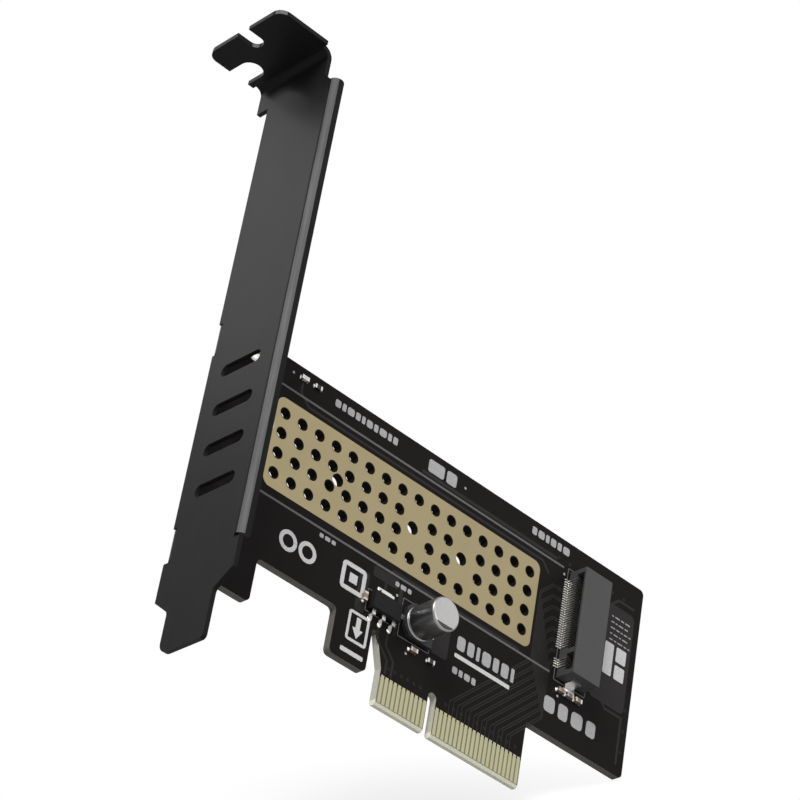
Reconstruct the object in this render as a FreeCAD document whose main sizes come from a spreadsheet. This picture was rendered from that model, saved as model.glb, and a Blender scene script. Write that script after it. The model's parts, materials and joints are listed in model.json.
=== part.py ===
import FreeCAD, Part
import math
import os

import Sketcher
from FreeCAD import Placement, Rotation, Vector

# Adapter card that carries one M.2 solid-state drive in a x4 edge slot.
# Origin: centre of the connector's key notch, on the connector's lower edge, mid board.
# +X runs along the board away from the bracket, +Z up to the board's top edge and
# +Y out of the solder side, so the components stand on the -Y side. Millimetres.

# Every size that can be set by itself: alias, value, what it measures.
DIMENSIONS = (
    # circuit board
    ("board_thickness", 1.57, "laminate thickness"),
    ("board_height", 52.4, "connector edge up to the top edge"),
    ("board_reach", 46.7, "key centre to the free end"),
    ("board_gap", 0.6, "bracket sheet to the board's near end"),
    ("board_corner", 1.0, "corner radius of the board"),
    ("shoulder_height", 13.1, "connector edge up to the board's lower edge"),
    ("leg_width", 13.9, "leg beside the bracket, along the board"),
    ("leg_foot", 4.6, "foot of the leg above the connector edge"),
    ("lug_reach", 23.8, "key centre to the far side of the lug"),
    ("lug_width", 8.4, "lug beside the connector, along the board"),
    ("lug_foot", 4.4, "foot of the lug above the connector edge"),
    ("slit_width", 1.2, "top width of the slit between lug and connector"),
    ("slit_top", 12.9, "connector edge up to the top of that slit"),
    ("neck_foot", 6.8, "height at which the connector reaches its full neck"),
    # edge connector
    ("short_reach", 12.15, "key centre to the connector's short end"),
    ("long_reach", 22.15, "key centre to the connector's long end"),
    ("key_width", 1.9, "width of the key notch"),
    ("key_depth", 8.0, "depth of the key notch"),
    ("bevel_height", 0.5, "lead-in bevel, up the board"),
    ("bevel_depth", 0.35, "lead-in bevel, into the board"),
    ("contact_spacing", 1.0, "spacing of the edge contacts"),
    ("contact_width", 0.7, "width of one edge contact"),
    ("contact_length", 5.2, "height of one edge contact"),
    ("contact_inset", 0.1, "bevel to the foot of a contact"),
    ("key_to_contact", 1.5, "key centre to the nearest contact's centre"),
    ("short_contacts", 11, "contacts on the short side of the key"),
    ("long_contacts", 21, "contacts on the long side of the key"),
    ("plating", 0.05, "thickness of plated copper on the board"),
    # cooling pad
    ("pad_inset", 4.4, "standoff's axis to the pad's near end"),
    ("pad_length", 64.4, "pad along the board"),
    ("pad_height", 17.8, "pad across the board"),
    ("pad_corner", 1.6, "corner radius of the pad"),
    ("column_inset", 2.0, "pad's near end to the first column of perforations"),
    ("perforation_spacing", 4.0, "spacing of the perforations, both ways"),
    ("perforation_bore", 1.9, "diameter of a perforation"),
    ("copper_clearance", 0.2, "the pad's copper kept back from a perforation"),
    ("perforation_columns", 16, "perforations along the pad"),
    ("perforation_rows", 4, "perforations across the pad"),
    ("web", 0.25, "least laminate between a perforation and a mounting hole"),
    # drive module
    ("module_height", 35.7, "connector edge up to the drive's centre line"),
    ("standoff_inset", 7.09, "board's near end to the standoff's axis"),
    ("module_short", 30.0, "first drive length"),
    ("module_small", 42.0, "second drive length"),
    ("module_middle", 60.0, "third drive length"),
    ("module_full", 80.0, "longest drive length"),
    ("mounting_bore", 2.5, "bore of a drive mounting hole"),
    # drive socket
    ("socket_length", 21.9, "socket housing along its row of contacts"),
    ("socket_depth", 6.8, "socket housing along the drive"),
    ("socket_height", 4.2, "socket housing off the board"),
    ("socket_grip", 3.7, "socket front to the drive's contact edge"),
    ("mouth_length", 20.1, "socket mouth along the row of contacts"),
    ("mouth_height", 1.9, "socket mouth off the board"),
    ("mouth_floor", 1.9, "board to the floor of the mouth"),
    ("mouth_depth", 4.3, "depth of the mouth"),
    ("rib_width", 1.0, "key rib in the mouth"),
    ("rib_offset", 6.125, "centre line to the key rib"),
    ("pin_spacing", 0.5, "spacing of the socket contacts in one row"),
    ("pin_width", 0.2, "width of a socket contact"),
    ("pin_sheet", 0.15, "thickness of a socket contact"),
    ("pin_clearance", 0.05, "contact to housing"),
    ("pin_tail", 0.85, "solder tail of a socket contact"),
    ("pins_before_key", 29, "contacts in a row before the key rib"),
    ("upper_pins_after_key", 5, "upper contacts after the key rib"),
    ("lower_pins_after_key", 4, "lower contacts after the key rib"),
    ("hold_down_width", 2.4, "solder tab on a socket end"),
    ("hold_down_sheet", 0.25, "thickness of a solder tab"),
    ("hold_down_rise", 1.9, "solder tab up the socket end"),
    ("hold_down_foot", 1.2, "solder tab along the board"),
    # bracket
    ("bracket_reach", 57.15, "key centre to the bracket's outer face"),
    ("bracket_sheet", 0.86, "bracket sheet thickness"),
    ("bracket_width", 18.42, "bracket plate width"),
    ("bracket_overhang", 2.43, "mid board to the plate's solder-side edge"),
    ("bracket_top", 106.9, "connector edge up to the top of the tab"),
    ("bracket_drop", 13.1, "connector edge down to the bracket's foot"),
    ("bend_radius", 0.6, "inside radius of the plate's side folds"),
    ("relief", 0.8, "relief beside a fold"),
    ("base_spread", 0.6, "plate below the lower ear, beyond the solder-side edge"),
    ("foot_inset", 3.3, "plate edge to the foot, solder side"),
    ("foot_width", 11.0, "width of the foot"),
    ("foot_corner", 2.2, "radius of the foot's solder-side corner"),
    ("foot_corner_small", 0.8, "radius of the foot's other corner"),
    ("slope_start", 2.4, "connector edge down to the solder-side slope"),
    ("slope_end", 5.3, "connector edge down to that slope's end"),
    ("shoulder_drop", 1.4, "connector edge down to the component-side slope"),
    ("shoulder_end", 4.3, "connector edge down to that slope's end"),
    ("slope_fillet", 1.2, "radius between slope and foot"),
    ("flange_depth", 2.15, "folded edge, outer face to its free edge"),
    ("flange_bottom", 5.0, "lower end of the folded edge"),
    ("flange_top", 98.9, "upper end of the folded edge"),
    ("flange_corner", 0.6, "corner radius of the folded edge"),
    ("step_rise", 2.0, "slope of the plate above the folded edge"),
    ("neck_inset", 3.4, "plate edge to the plate above the folded edge"),
    ("crown_start", 100.4, "connector edge up to the wide top of the plate"),
    ("crown_spread", 3.0, "wide top of the plate, beyond the solder-side edge"),
    ("tab_bend", 1.5, "inside radius of the tab's fold"),
    ("tab_depth", 12.7, "tab, outer face of the plate to its free edge"),
    ("tab_width", 20.0, "width of the tab"),
    ("tab_inset", 2.2, "plate edge to the tab, component side"),
    ("tab_corner", 2.2, "corner radius of the tab"),
    ("screw_notch_width", 4.42, "notch for the case screw"),
    ("screw_notch_offset", 5.0, "outer face to the screw notch's centre line"),
    ("screw_notch_end", 5.6, "tab's solder-side end to the notch's inner end"),
    ("guide_notch_width", 3.0, "notch in the tab's free edge"),
    ("guide_notch_depth", 4.4, "depth of that notch"),
    ("guide_notch_offset", 9.95, "tab's solder-side end to that notch's centre"),
    ("vent_length", 10.0, "length of a vent"),
    ("vent_height", 2.4, "height of a vent"),
    ("vent_spacing", 8.0, "spacing of the vents"),
    ("vent_count", 4, "number of vents"),
    ("vent_offset", 8.7, "plate's solder-side edge to the vents' centre"),
    ("vent_start", 17.2, "connector edge up to the lowest vent"),
    ("ear_stand", 0.5, "outer side of an ear's fold beyond the plate's edge"),
    ("ear_height", 5.8, "width of a board ear, up the bracket"),
    ("ear_reach", 9.0, "outer face to an ear's free end"),
    ("ear_hole_reach", 5.7, "outer face to an ear's screw hole"),
    ("ear_corner", 1.0, "corner radius of an ear"),
    ("ear_relief", 0.4, "slit beside an ear"),
    ("joggle_inset", 0.4, "fold to the start of an ear's joggle"),
    ("joggle_run", 1.8, "length of the joggle"),
    ("lower_ear", 8.2, "connector edge up to the lower ear's centre"),
    ("upper_ear", 49.3, "connector edge up to the upper ear's centre"),
    # screws
    ("screw_bore", 3.0, "threaded bore in the ears"),
    ("screw_play", 0.06, "threaded bore less screw, in diameter"),
    ("screw_hole", 3.3, "clearance hole in the board"),
    ("screw_head", 5.4, "diameter of a bracket screw's head"),
    ("screw_head_height", 1.9, "height of that head"),
    ("screw_tip", 0.8, "bracket screw beyond the ear"),
    ("recess_span", 2.8, "cross recess, across"),
    ("recess_width", 0.6, "cross recess, width of an arm"),
    ("recess_depth", 1.1, "depth of the cross recess"),
    # standoff for the longest drive
    ("standoff_height", 2.45, "board to the drive's seat"),
    ("standoff_diameter", 5.0, "diameter of the standoff"),
    ("stem_play", 0.1, "mounting bore less stem, in diameter"),
    ("stem_beyond_nut", 0.3, "stem beyond its nut"),
    ("nut_across", 4.5, "nut across flats"),
    ("nut_height", 1.8, "height of the nut"),
    ("nut_play", 0.06, "nut bore less stem, in diameter"),
    ("seat_bore", 2.0, "threaded bore in the standoff"),
    ("seat_bore_depth", 2.9, "depth of that bore"),
    ("clamp_head", 4.8, "diameter of the drive screw's head"),
    ("clamp_head_height", 0.9, "height of that head"),
    ("clamp_length", 2.4, "length of the drive screw under its head"),
    ("small_recess_span", 2.0, "drive screw's cross recess, across"),
    ("small_recess_width", 0.45, "width of that recess's arms"),
    ("small_recess_depth", 0.5, "depth of that recess"),
    # bulk capacitor
    ("can_reach", 6.2, "key centre to the can's centre"),
    ("can_place", 18.2, "connector edge up to the can's centre"),
    ("can_diameter", 6.3, "diameter of the can"),
    ("can_top", 7.7, "board to the top of the can"),
    ("can_groove", 0.35, "depth of the crimped groove"),
    ("can_edge", 0.5, "bevel of the can's top edge"),
    ("base_side", 6.6, "side of the moulded base"),
    ("base_height", 1.1, "thickness of the moulded base"),
    ("base_chamfer", 1.4, "cut corners of the base"),
    ("lead_sheet", 0.2, "thickness of a solder lead"),
    ("can_lead_width", 0.9, "width of a can lead"),
    ("can_lead_beyond", 0.7, "can lead beyond the base"),
    ("can_lead_length", 3.0, "length of a can lead"),
    # voltage regulator
    ("regulator_reach", 14.2, "key centre to the regulator's centre"),
    ("regulator_place", 17.6, "connector edge up to the regulator's centre"),
    ("regulator_length", 6.5, "regulator package along the board"),
    ("regulator_width", 3.5, "regulator package up the board"),
    ("regulator_height", 1.6, "regulator package off the board"),
    ("regulator_draft", 8.0, "draft of the package's sides, in degrees"),
    ("regulator_stand", 0.1, "board to the package"),
    ("regulator_spacing", 2.3, "spacing of the regulator's leads"),
    ("regulator_lead_width", 0.75, "width of a narrow lead"),
    ("regulator_tab_width", 3.0, "width of the wide lead"),
    ("regulator_lead_beyond", 1.6, "lead beyond the package"),
    # chips
    ("chip_length", 1.6, "length of a chip part"),
    ("chip_width", 0.8, "width of a chip part"),
    ("capacitor_rise", 0.8, "height of a chip capacitor"),
    ("resistor_rise", 0.45, "height of a chip resistor"),
    ("lamp_rise", 0.6, "height of the status lamp"),
    ("chip_end", 0.35, "length of a chip's metal end"),
    ("chip_row_inset", 1.2, "socket front to the first chip below it"),
    ("chip_row_spacing", 2.2, "spacing of the chips below the socket"),
    ("chip_row_drop", 2.2, "socket's lower end to that row"),
    ("chip_side_gap", 4.4, "regulator or can to the chip beside it"),
    ("small_chip_place", 13.2, "connector edge up to the chips below the can"),
    ("lamp_inset", 15.89, "board's near end to the status lamp"),
    ("lamp_drop", 2.1, "board's top edge down to the status lamp"),
    ("lamp_gap", 3.2, "status lamp to its resistor"),
)


# Sides of a perforation's outline: few, because the hole is repeated so often.
PERFORATION_SIDES = 6


class Size:
    """A number together with the spreadsheet expression that gives it."""

    def __init__(self, number, text):
        self.number = number
        self.text = text

    def __neg__(self):
        return Size(-self.number, f"(0 - {self.text})")

    def __add__(self, other):
        other = as_size(other)
        return Size(self.number + other.number, f"({self.text} + {other.text})")

    def __radd__(self, other):
        return as_size(other) + self

    def __sub__(self, other):
        other = as_size(other)
        return Size(self.number - other.number, f"({self.text} - {other.text})")

    def __rsub__(self, other):
        return as_size(other) - self

    def __mul__(self, other):
        other = as_size(other)
        return Size(self.number * other.number, f"({self.text} * {other.text})")

    def __rmul__(self, other):
        return as_size(other) * self

    def __truediv__(self, other):
        other = as_size(other)
        return Size(self.number / other.number, f"({self.text} / {other.text})")


def as_size(value):
    """A plain number as a Size."""
    if isinstance(value, Size):
        return value
    return Size(value, f"({value})")


document = FreeCAD.newDocument("adapter_card")
sheet = document.addObject("Spreadsheet::Sheet", "dims")
for row, (alias, number, note) in enumerate(DIMENSIONS, 1):
    sheet.set(f"A{row}", note)
    sheet.set(f"B{row}", str(number))
    sheet.setAlias(f"B{row}", alias)
document.recompute()
size = {alias: Size(sheet.get(alias), f"dims.{alias}") for alias, number, note in DIMENSIONS}
parts = {}

# Places that several pieces share.
half_board = size["board_thickness"] / 2
board_left = size["board_gap"] + size["bracket_sheet"] - size["bracket_reach"]
leg_right = board_left + size["leg_width"]
lug_left = -size["lug_reach"]
lug_right = lug_left + size["lug_width"]
standoff_place = board_left + size["standoff_inset"]
module_datum = standoff_place + size["module_full"]
pad_start = standoff_place + size["pad_inset"]
socket_front = module_datum - size["socket_grip"]
socket_back = socket_front + size["socket_depth"]
inner_face = size["bracket_sheet"] - size["bracket_reach"]
outer_face = -size["bracket_reach"]
ear_hole = size["ear_hole_reach"] - size["bracket_reach"]
ears = (size["lower_ear"], size["upper_ear"])
mounting_holes = [module_datum - size[length]
                  for length in ("module_short", "module_small", "module_middle")]


def bind(thing, name, value):
    """Tie a property to its expression."""
    thing.setExpression(name, as_size(value).text)


def new_body(label, finished=True):
    """A body of its own, which may hold several like solids."""
    body = document.addObject("PartDesign::Body", label)
    body.Label = label
    body.AllowCompound = True
    if finished:
        parts[label] = body
    return body


def new_sketch(body, role, offset):
    """A sketch parallel to one of the body's origin planes, offset along its normal."""
    sketch = body.newObject("Sketcher::SketchObject", "Sketch")
    plane = [item for item in body.Origin.OriginFeatures if item.Role == role][0]
    sketch.AttachmentSupport = (plane, [""])
    sketch.MapMode = "FlatFace"
    bind(sketch, "AttachmentOffset.Base.z", offset)
    return sketch


def facing(body, height):
    """A sketch seen from the component side, this far in front of the board's middle."""
    return new_sketch(body, "XZ_Plane", height)


def fix(sketch, kind, geometry, position, value):
    """Hold one coordinate of a point at an expression."""
    index = sketch.addConstraint(
        Sketcher.Constraint(kind, -1, 1, geometry, position, value.number))
    bind(sketch, f"Constraints[{index}]", value)


def place(sketch, geometry, position, point):
    """Hold both coordinates of a point."""
    fix(sketch, "DistanceX", geometry, position, as_size(point[0]))
    fix(sketch, "DistanceY", geometry, position, as_size(point[1]))


def flat(point):
    """A sketch point's numbers."""
    return Vector(as_size(point[0]).number, as_size(point[1]).number, 0)


def polygon(sketch, corners):
    """A closed outline of straight sides."""
    first = sketch.GeometryCount
    count = len(corners)
    for number in range(count):
        start = flat(corners[number])
        end = flat(corners[(number + 1) % count])
        sketch.addGeometry(Part.LineSegment(start, end), False)
    for number in range(count):
        following = first + (number + 1) % count
        sketch.addConstraint(
            Sketcher.Constraint("Coincident", first + number, 2, following, 1))
        place(sketch, first + number, 1, corners[number])


def rectangle(sketch, low, high):
    """An upright rectangle between two corners."""
    polygon(sketch, [low, (high[0], low[1]), high, (low[0], high[1])])


def circle(sketch, centre, diameter):
    """A circle of a bound diameter."""
    ring = Part.Circle(flat(centre), Vector(0, 0, 1), as_size(diameter).number / 2)
    index = sketch.addGeometry(ring, False)
    place(sketch, index, 3, centre)
    held = sketch.addConstraint(
        Sketcher.Constraint("Diameter", index, as_size(diameter).number))
    bind(sketch, f"Constraints[{held}]", diameter)


def arc(sketch, centre, radius, start, quarters=1):
    """Quarter or half circle, anticlockwise from an angle that is a multiple of 90."""
    ring = Part.Circle(flat(centre), Vector(0, 0, 1), as_size(radius).number)
    end = start + 90 * quarters
    index = sketch.addGeometry(
        Part.ArcOfCircle(ring, math.radians(start), math.radians(end)), False)
    place(sketch, index, 3, centre)
    held = sketch.addConstraint(
        Sketcher.Constraint("Radius", index, as_size(radius).number))
    bind(sketch, f"Constraints[{held}]", radius)
    for position, angle in ((1, start), (2, end)):
        if angle % 180 == 0:
            fix(sketch, "DistanceY", index, position, as_size(centre[1]))
        else:
            fix(sketch, "DistanceX", index, position, as_size(centre[0]))
    return index


def join(sketch, ends):
    """Straight lines between pairs of curve ends (curve, end, curve, end)."""
    for curve, end, other, other_end in ends:
        line = Part.LineSegment(sketch.getPoint(curve, end), sketch.getPoint(other, other_end))
        index = sketch.addGeometry(line, False)
        sketch.addConstraint(Sketcher.Constraint("Coincident", index, 1, curve, end))
        sketch.addConstraint(Sketcher.Constraint("Coincident", index, 2, other, other_end))


def rounded_rectangle(sketch, low, high, radius):
    """An upright rectangle with four equal round corners."""
    inner_low = (low[0] + radius, low[1] + radius)
    inner_high = (high[0] - radius, high[1] - radius)
    corners = [arc(sketch, inner_high, radius, 0),
               arc(sketch, (inner_low[0], inner_high[1]), radius, 90),
               arc(sketch, inner_low, radius, 180),
               arc(sketch, (inner_high[0], inner_low[1]), radius, 270)]
    join(sketch, [(corners[number], 2, corners[(number + 1) % 4], 1) for number in range(4)])


def slot(sketch, start, end, width):
    """A slot with round ends, level or upright, between the centres of its ends."""
    level = flat(start).y == flat(end).y
    first = arc(sketch, start, width / 2, 90 if level else 180, 2)
    second = arc(sketch, end, width / 2, 270 if level else 0, 2)
    join(sketch, [(first, 2, second, 1), (second, 2, first, 1)])


def fold(sketch, centre, bend, start, plate_end, leg_end=None):
    """Section of a square fold in the sheet, with a level leg out to leg_end.

    plate_end says which end of the fold's arcs, 1 or 2, meets the plate.
    """
    inner = arc(sketch, centre, bend, start)
    outer = arc(sketch, centre, bend + size["bracket_sheet"], start)
    join(sketch, [(inner, plate_end, outer, plate_end)])
    if leg_end is None:
        join(sketch, [(inner, 3 - plate_end, outer, 3 - plate_end)])
        return
    sides = []
    for curve in (inner, outer):
        near = sketch.getPoint(curve, 3 - plate_end)
        side = sketch.addGeometry(
            Part.LineSegment(near, Vector(leg_end.number, near.y, 0)), False)
        sketch.addConstraint(Sketcher.Constraint("Coincident", side, 1, curve, 3 - plate_end))
        sketch.addConstraint(Sketcher.Constraint("Horizontal", side))
        fix(sketch, "DistanceX", side, 2, leg_end)
        sides.append(side)
    join(sketch, [(sides[0], 2, sides[1], 2)])


def chain(sketch, start, points, end):
    """Straight sides from one curve's end through free points to another curve's end."""
    count = len(points)
    first = sketch.GeometryCount
    stops = [sketch.getPoint(*start)] + [flat(point) for point in points]
    stops.append(sketch.getPoint(*end))
    for number in range(count + 1):
        sketch.addGeometry(Part.LineSegment(stops[number], stops[number + 1]), False)
    sketch.addConstraint(Sketcher.Constraint("Coincident", first, 1, *start))
    for number, point in enumerate(points):
        sketch.addConstraint(
            Sketcher.Constraint("Coincident", first + number, 2, first + number + 1, 1))
        place(sketch, first + number, 2, point)
    sketch.addConstraint(Sketcher.Constraint("Coincident", first + count, 2, *end))


def pad(body, sketch, length, backwards=False):
    """Extrude a sketch along its normal, or against it."""
    feature = body.newObject("PartDesign::Pad", "Pad")
    feature.Profile = sketch
    feature.Reversed = backwards
    bind(feature, "Length", length)
    document.recompute()
    return feature


def pocket(body, sketch, length=None, backwards=False):
    """Cut a sketch against its normal, or along it: right through without a length."""
    before = body.Shape.Volume
    feature = body.newObject("PartDesign::Pocket", "Pocket")
    feature.Profile = sketch
    feature.Reversed = backwards
    if length is None:
        feature.Type = "ThroughAll"
    else:
        bind(feature, "Length", length)
    document.recompute()
    if not body.Shape.Volume < before:
        raise RuntimeError(f"{feature.Label} in {body.Label} cuts nothing")
    return feature


def repeat(body, feature, sketch, axis, pitch, count):
    """A row of equal copies along an axis of the sketch: of the whole body with no feature."""
    pattern = body.newObject("PartDesign::LinearPattern", "LinearPattern")
    if feature is None:
        pattern.TransformMode = "Whole shape"
    else:
        pattern.Originals = [feature]
    pattern.Direction = (sketch, [axis])
    pattern.Mode = "Spacing"
    bind(pattern, "Offset", pitch)
    bind(pattern, "Occurrences", count)
    body.Tip = pattern
    document.recompute()
    return pattern


def edges_at(body, points):
    """Names of the straight edges whose middles lie at these points."""
    names = []
    for number, edge in enumerate(body.Shape.Edges, 1):
        if edge.Curve.TypeId != "Part::GeomLine":
            continue
        middle = edge.valueAt((edge.FirstParameter + edge.LastParameter) / 2)
        if any(middle.distanceToPoint(point) < 0.01 for point in points):
            names.append(f"Edge{number}")
    if len(names) != len(points):
        raise RuntimeError(f"{body.Label}: {len(names)} edges for {len(points)} corners")
    return names


def rim_at(body, centre, diameter):
    """Name of the round edge with this centre and diameter."""
    for number, edge in enumerate(body.Shape.Edges, 1):
        if edge.Curve.TypeId != "Part::GeomCircle":
            continue
        across = 2 * edge.Curve.Radius - as_size(diameter).number
        if edge.Curve.Center.distanceToPoint(centre) < 0.01 and abs(across) < 0.01:
            return f"Edge{number}"
    raise RuntimeError(f"{body.Label}: no round edge at {centre}")


def dress(body, kind, names, amount):
    """Round or chamfer named edges of the body as it stands."""
    base = body.Tip
    feature = body.newObject(f"PartDesign::{kind}", kind)
    feature.Base = (base, names)
    bind(feature, "Radius" if kind == "Fillet" else "Size", amount)
    document.recompute()
    return feature


def round_corners(body, points, radius):
    """Round the straight edges whose middles lie at these points."""
    return dress(body, "Fillet", edges_at(body, points), radius)


def spot(along, across, up):
    """A point in space from three sizes."""
    return Vector(as_size(along).number, as_size(across).number, as_size(up).number)


def grid_places():
    """Centres of the perforations: the grid, less the places beside a mounting hole."""
    clear = (size["mounting_bore"] + size["perforation_bore"]) / 2 + size["web"]
    rows = int(size["perforation_rows"].number)
    places = []
    for column in range(int(size["perforation_columns"].number)):
        along = pad_start + size["column_inset"] + column * size["perforation_spacing"]
        for row_number in range(rows):
            rise = (row_number - (rows - 1) / 2) * size["perforation_spacing"]
            gaps = [math.hypot(along.number - hole.number, rise.number)
                    for hole in mounting_holes]
            if min(gaps) > clear.number:
                places.append((along, size["module_height"] + rise))
    return places


def perforation_cutters(label, across):
    """One light six-sided cutter for each perforation, long enough for board and pad."""
    corner = 0.5 / math.cos(math.pi / PERFORATION_SIDES)
    cutters = []
    for along, rise in grid_places():
        cutter = document.addObject("Part::Prism", "Perforation")
        cutter.Polygon = PERFORATION_SIDES
        bind(cutter, "Circumradius", across * corner)
        bind(cutter, "Height", size["board_thickness"] * 2)
        turn = Rotation(Vector(0, 0, 1), 180 / PERFORATION_SIDES)
        cutter.Placement = Placement(Vector(), Rotation(Vector(1, 0, 0), 90) * turn)
        bind(cutter, "Placement.Base.x", along)
        bind(cutter, "Placement.Base.y", size["board_thickness"])
        bind(cutter, "Placement.Base.z", rise)
        cutters.append(cutter)
    group = document.addObject("Part::Compound", label)
    group.Links = cutters
    return group


def perforate(label, blank, cutters):
    """The finished plate: a blank body less all the perforations."""
    plate = document.addObject("Part::Cut", label)
    plate.Label = label
    plate.Base = blank
    plate.Tool = cutters
    document.recompute()
    parts[label] = plate


def circuit_board():
    """One laminate with its legs, slit, key notch, bevels and holes."""
    body = new_body("board_blank", finished=False)
    sketch = facing(body, -half_board)
    low = size["shoulder_height"]
    slit_top = size["slit_top"]
    polygon(sketch, [
        (-size["short_reach"], 0), (size["long_reach"], 0),
        (size["long_reach"], low), (size["board_reach"], low),
        (size["board_reach"], size["board_height"]), (board_left, size["board_height"]),
        (board_left, size["leg_foot"]), (leg_right, size["leg_foot"]),
        (leg_right, low), (lug_left, low),
        (lug_left, size["lug_foot"]), (lug_right, size["lug_foot"]),
        (lug_right, slit_top), (lug_right + size["slit_width"], slit_top),
        (-size["short_reach"], size["neck_foot"])])
    pad(body, sketch, size["board_thickness"])
    round_corners(body, [
        spot(size["board_reach"], 0, low), spot(size["board_reach"], 0, size["board_height"]),
        spot(board_left, 0, size["board_height"]), spot(board_left, 0, size["leg_foot"]),
        spot(leg_right, 0, size["leg_foot"]), spot(leg_right, 0, low), spot(lug_left, 0, low),
        spot(lug_left, 0, size["lug_foot"]), spot(lug_right, 0, size["lug_foot"])],
        size["board_corner"])
    round_corners(body, [
        spot(lug_right, 0, slit_top), spot(lug_right + size["slit_width"], 0, slit_top)],
        size["slit_width"] * 0.4)

    sketch = facing(body, half_board)
    slot(sketch, (0, -size["key_width"]), (0, size["key_depth"] - size["key_width"] / 2),
         size["key_width"])
    pocket(body, sketch)

    sketch = new_sketch(body, "YZ_Plane", size["long_reach"] + size["key_width"])
    for side in (-1, 1):
        face = side * half_board
        polygon(sketch, [(face, 0), (face, size["bevel_height"]),
                         (face - side * size["bevel_depth"], 0)])
    pocket(body, sketch, size["long_reach"] + size["short_reach"] + 2 * size["key_width"])

    sketch = facing(body, half_board)
    for along in mounting_holes + [standoff_place]:
        circle(sketch, (along, size["module_height"]), size["mounting_bore"])
    for rise in ears:
        circle(sketch, (ear_hole, rise), size["screw_hole"])
    pocket(body, sketch)
    perforate("circuit_board", body,
              perforation_cutters("board_bores", size["perforation_bore"]))


def cooling_pad():
    """Thin plated sheet on the board's component side, perforated with it."""
    body = new_body("pad_blank", finished=False)
    sketch = facing(body, half_board)
    middle = size["module_height"]
    low = (pad_start, middle - size["pad_height"] / 2)
    high = (pad_start + size["pad_length"], middle + size["pad_height"] / 2)
    rounded_rectangle(sketch, low, high, size["pad_corner"])
    for along in mounting_holes:
        circle(sketch, (along, middle), size["mounting_bore"])
    pad(body, sketch, size["plating"])
    opening = size["perforation_bore"] + size["copper_clearance"] * 2
    perforate("cooling_pad", body, perforation_cutters("pad_openings", opening))


def edge_contacts(label, height, backwards):
    """The plated fingers on one face of the connector, either side of the key."""
    body = new_body(label)
    low = size["bevel_height"] + size["contact_inset"]
    pitch = size["contact_spacing"]
    starts = ((size["key_to_contact"], size["long_contacts"]),
              (-size["key_to_contact"] - pitch * (size["short_contacts"] - 1),
               size["short_contacts"]))
    for centre, count in starts:
        sketch = facing(body, height)
        rectangle(sketch, (centre - size["contact_width"] / 2, low),
                  (centre + size["contact_width"] / 2, low + size["contact_length"]))
        repeat(body, pad(body, sketch, size["plating"], backwards), sketch, "H_Axis", pitch, count)


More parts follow.
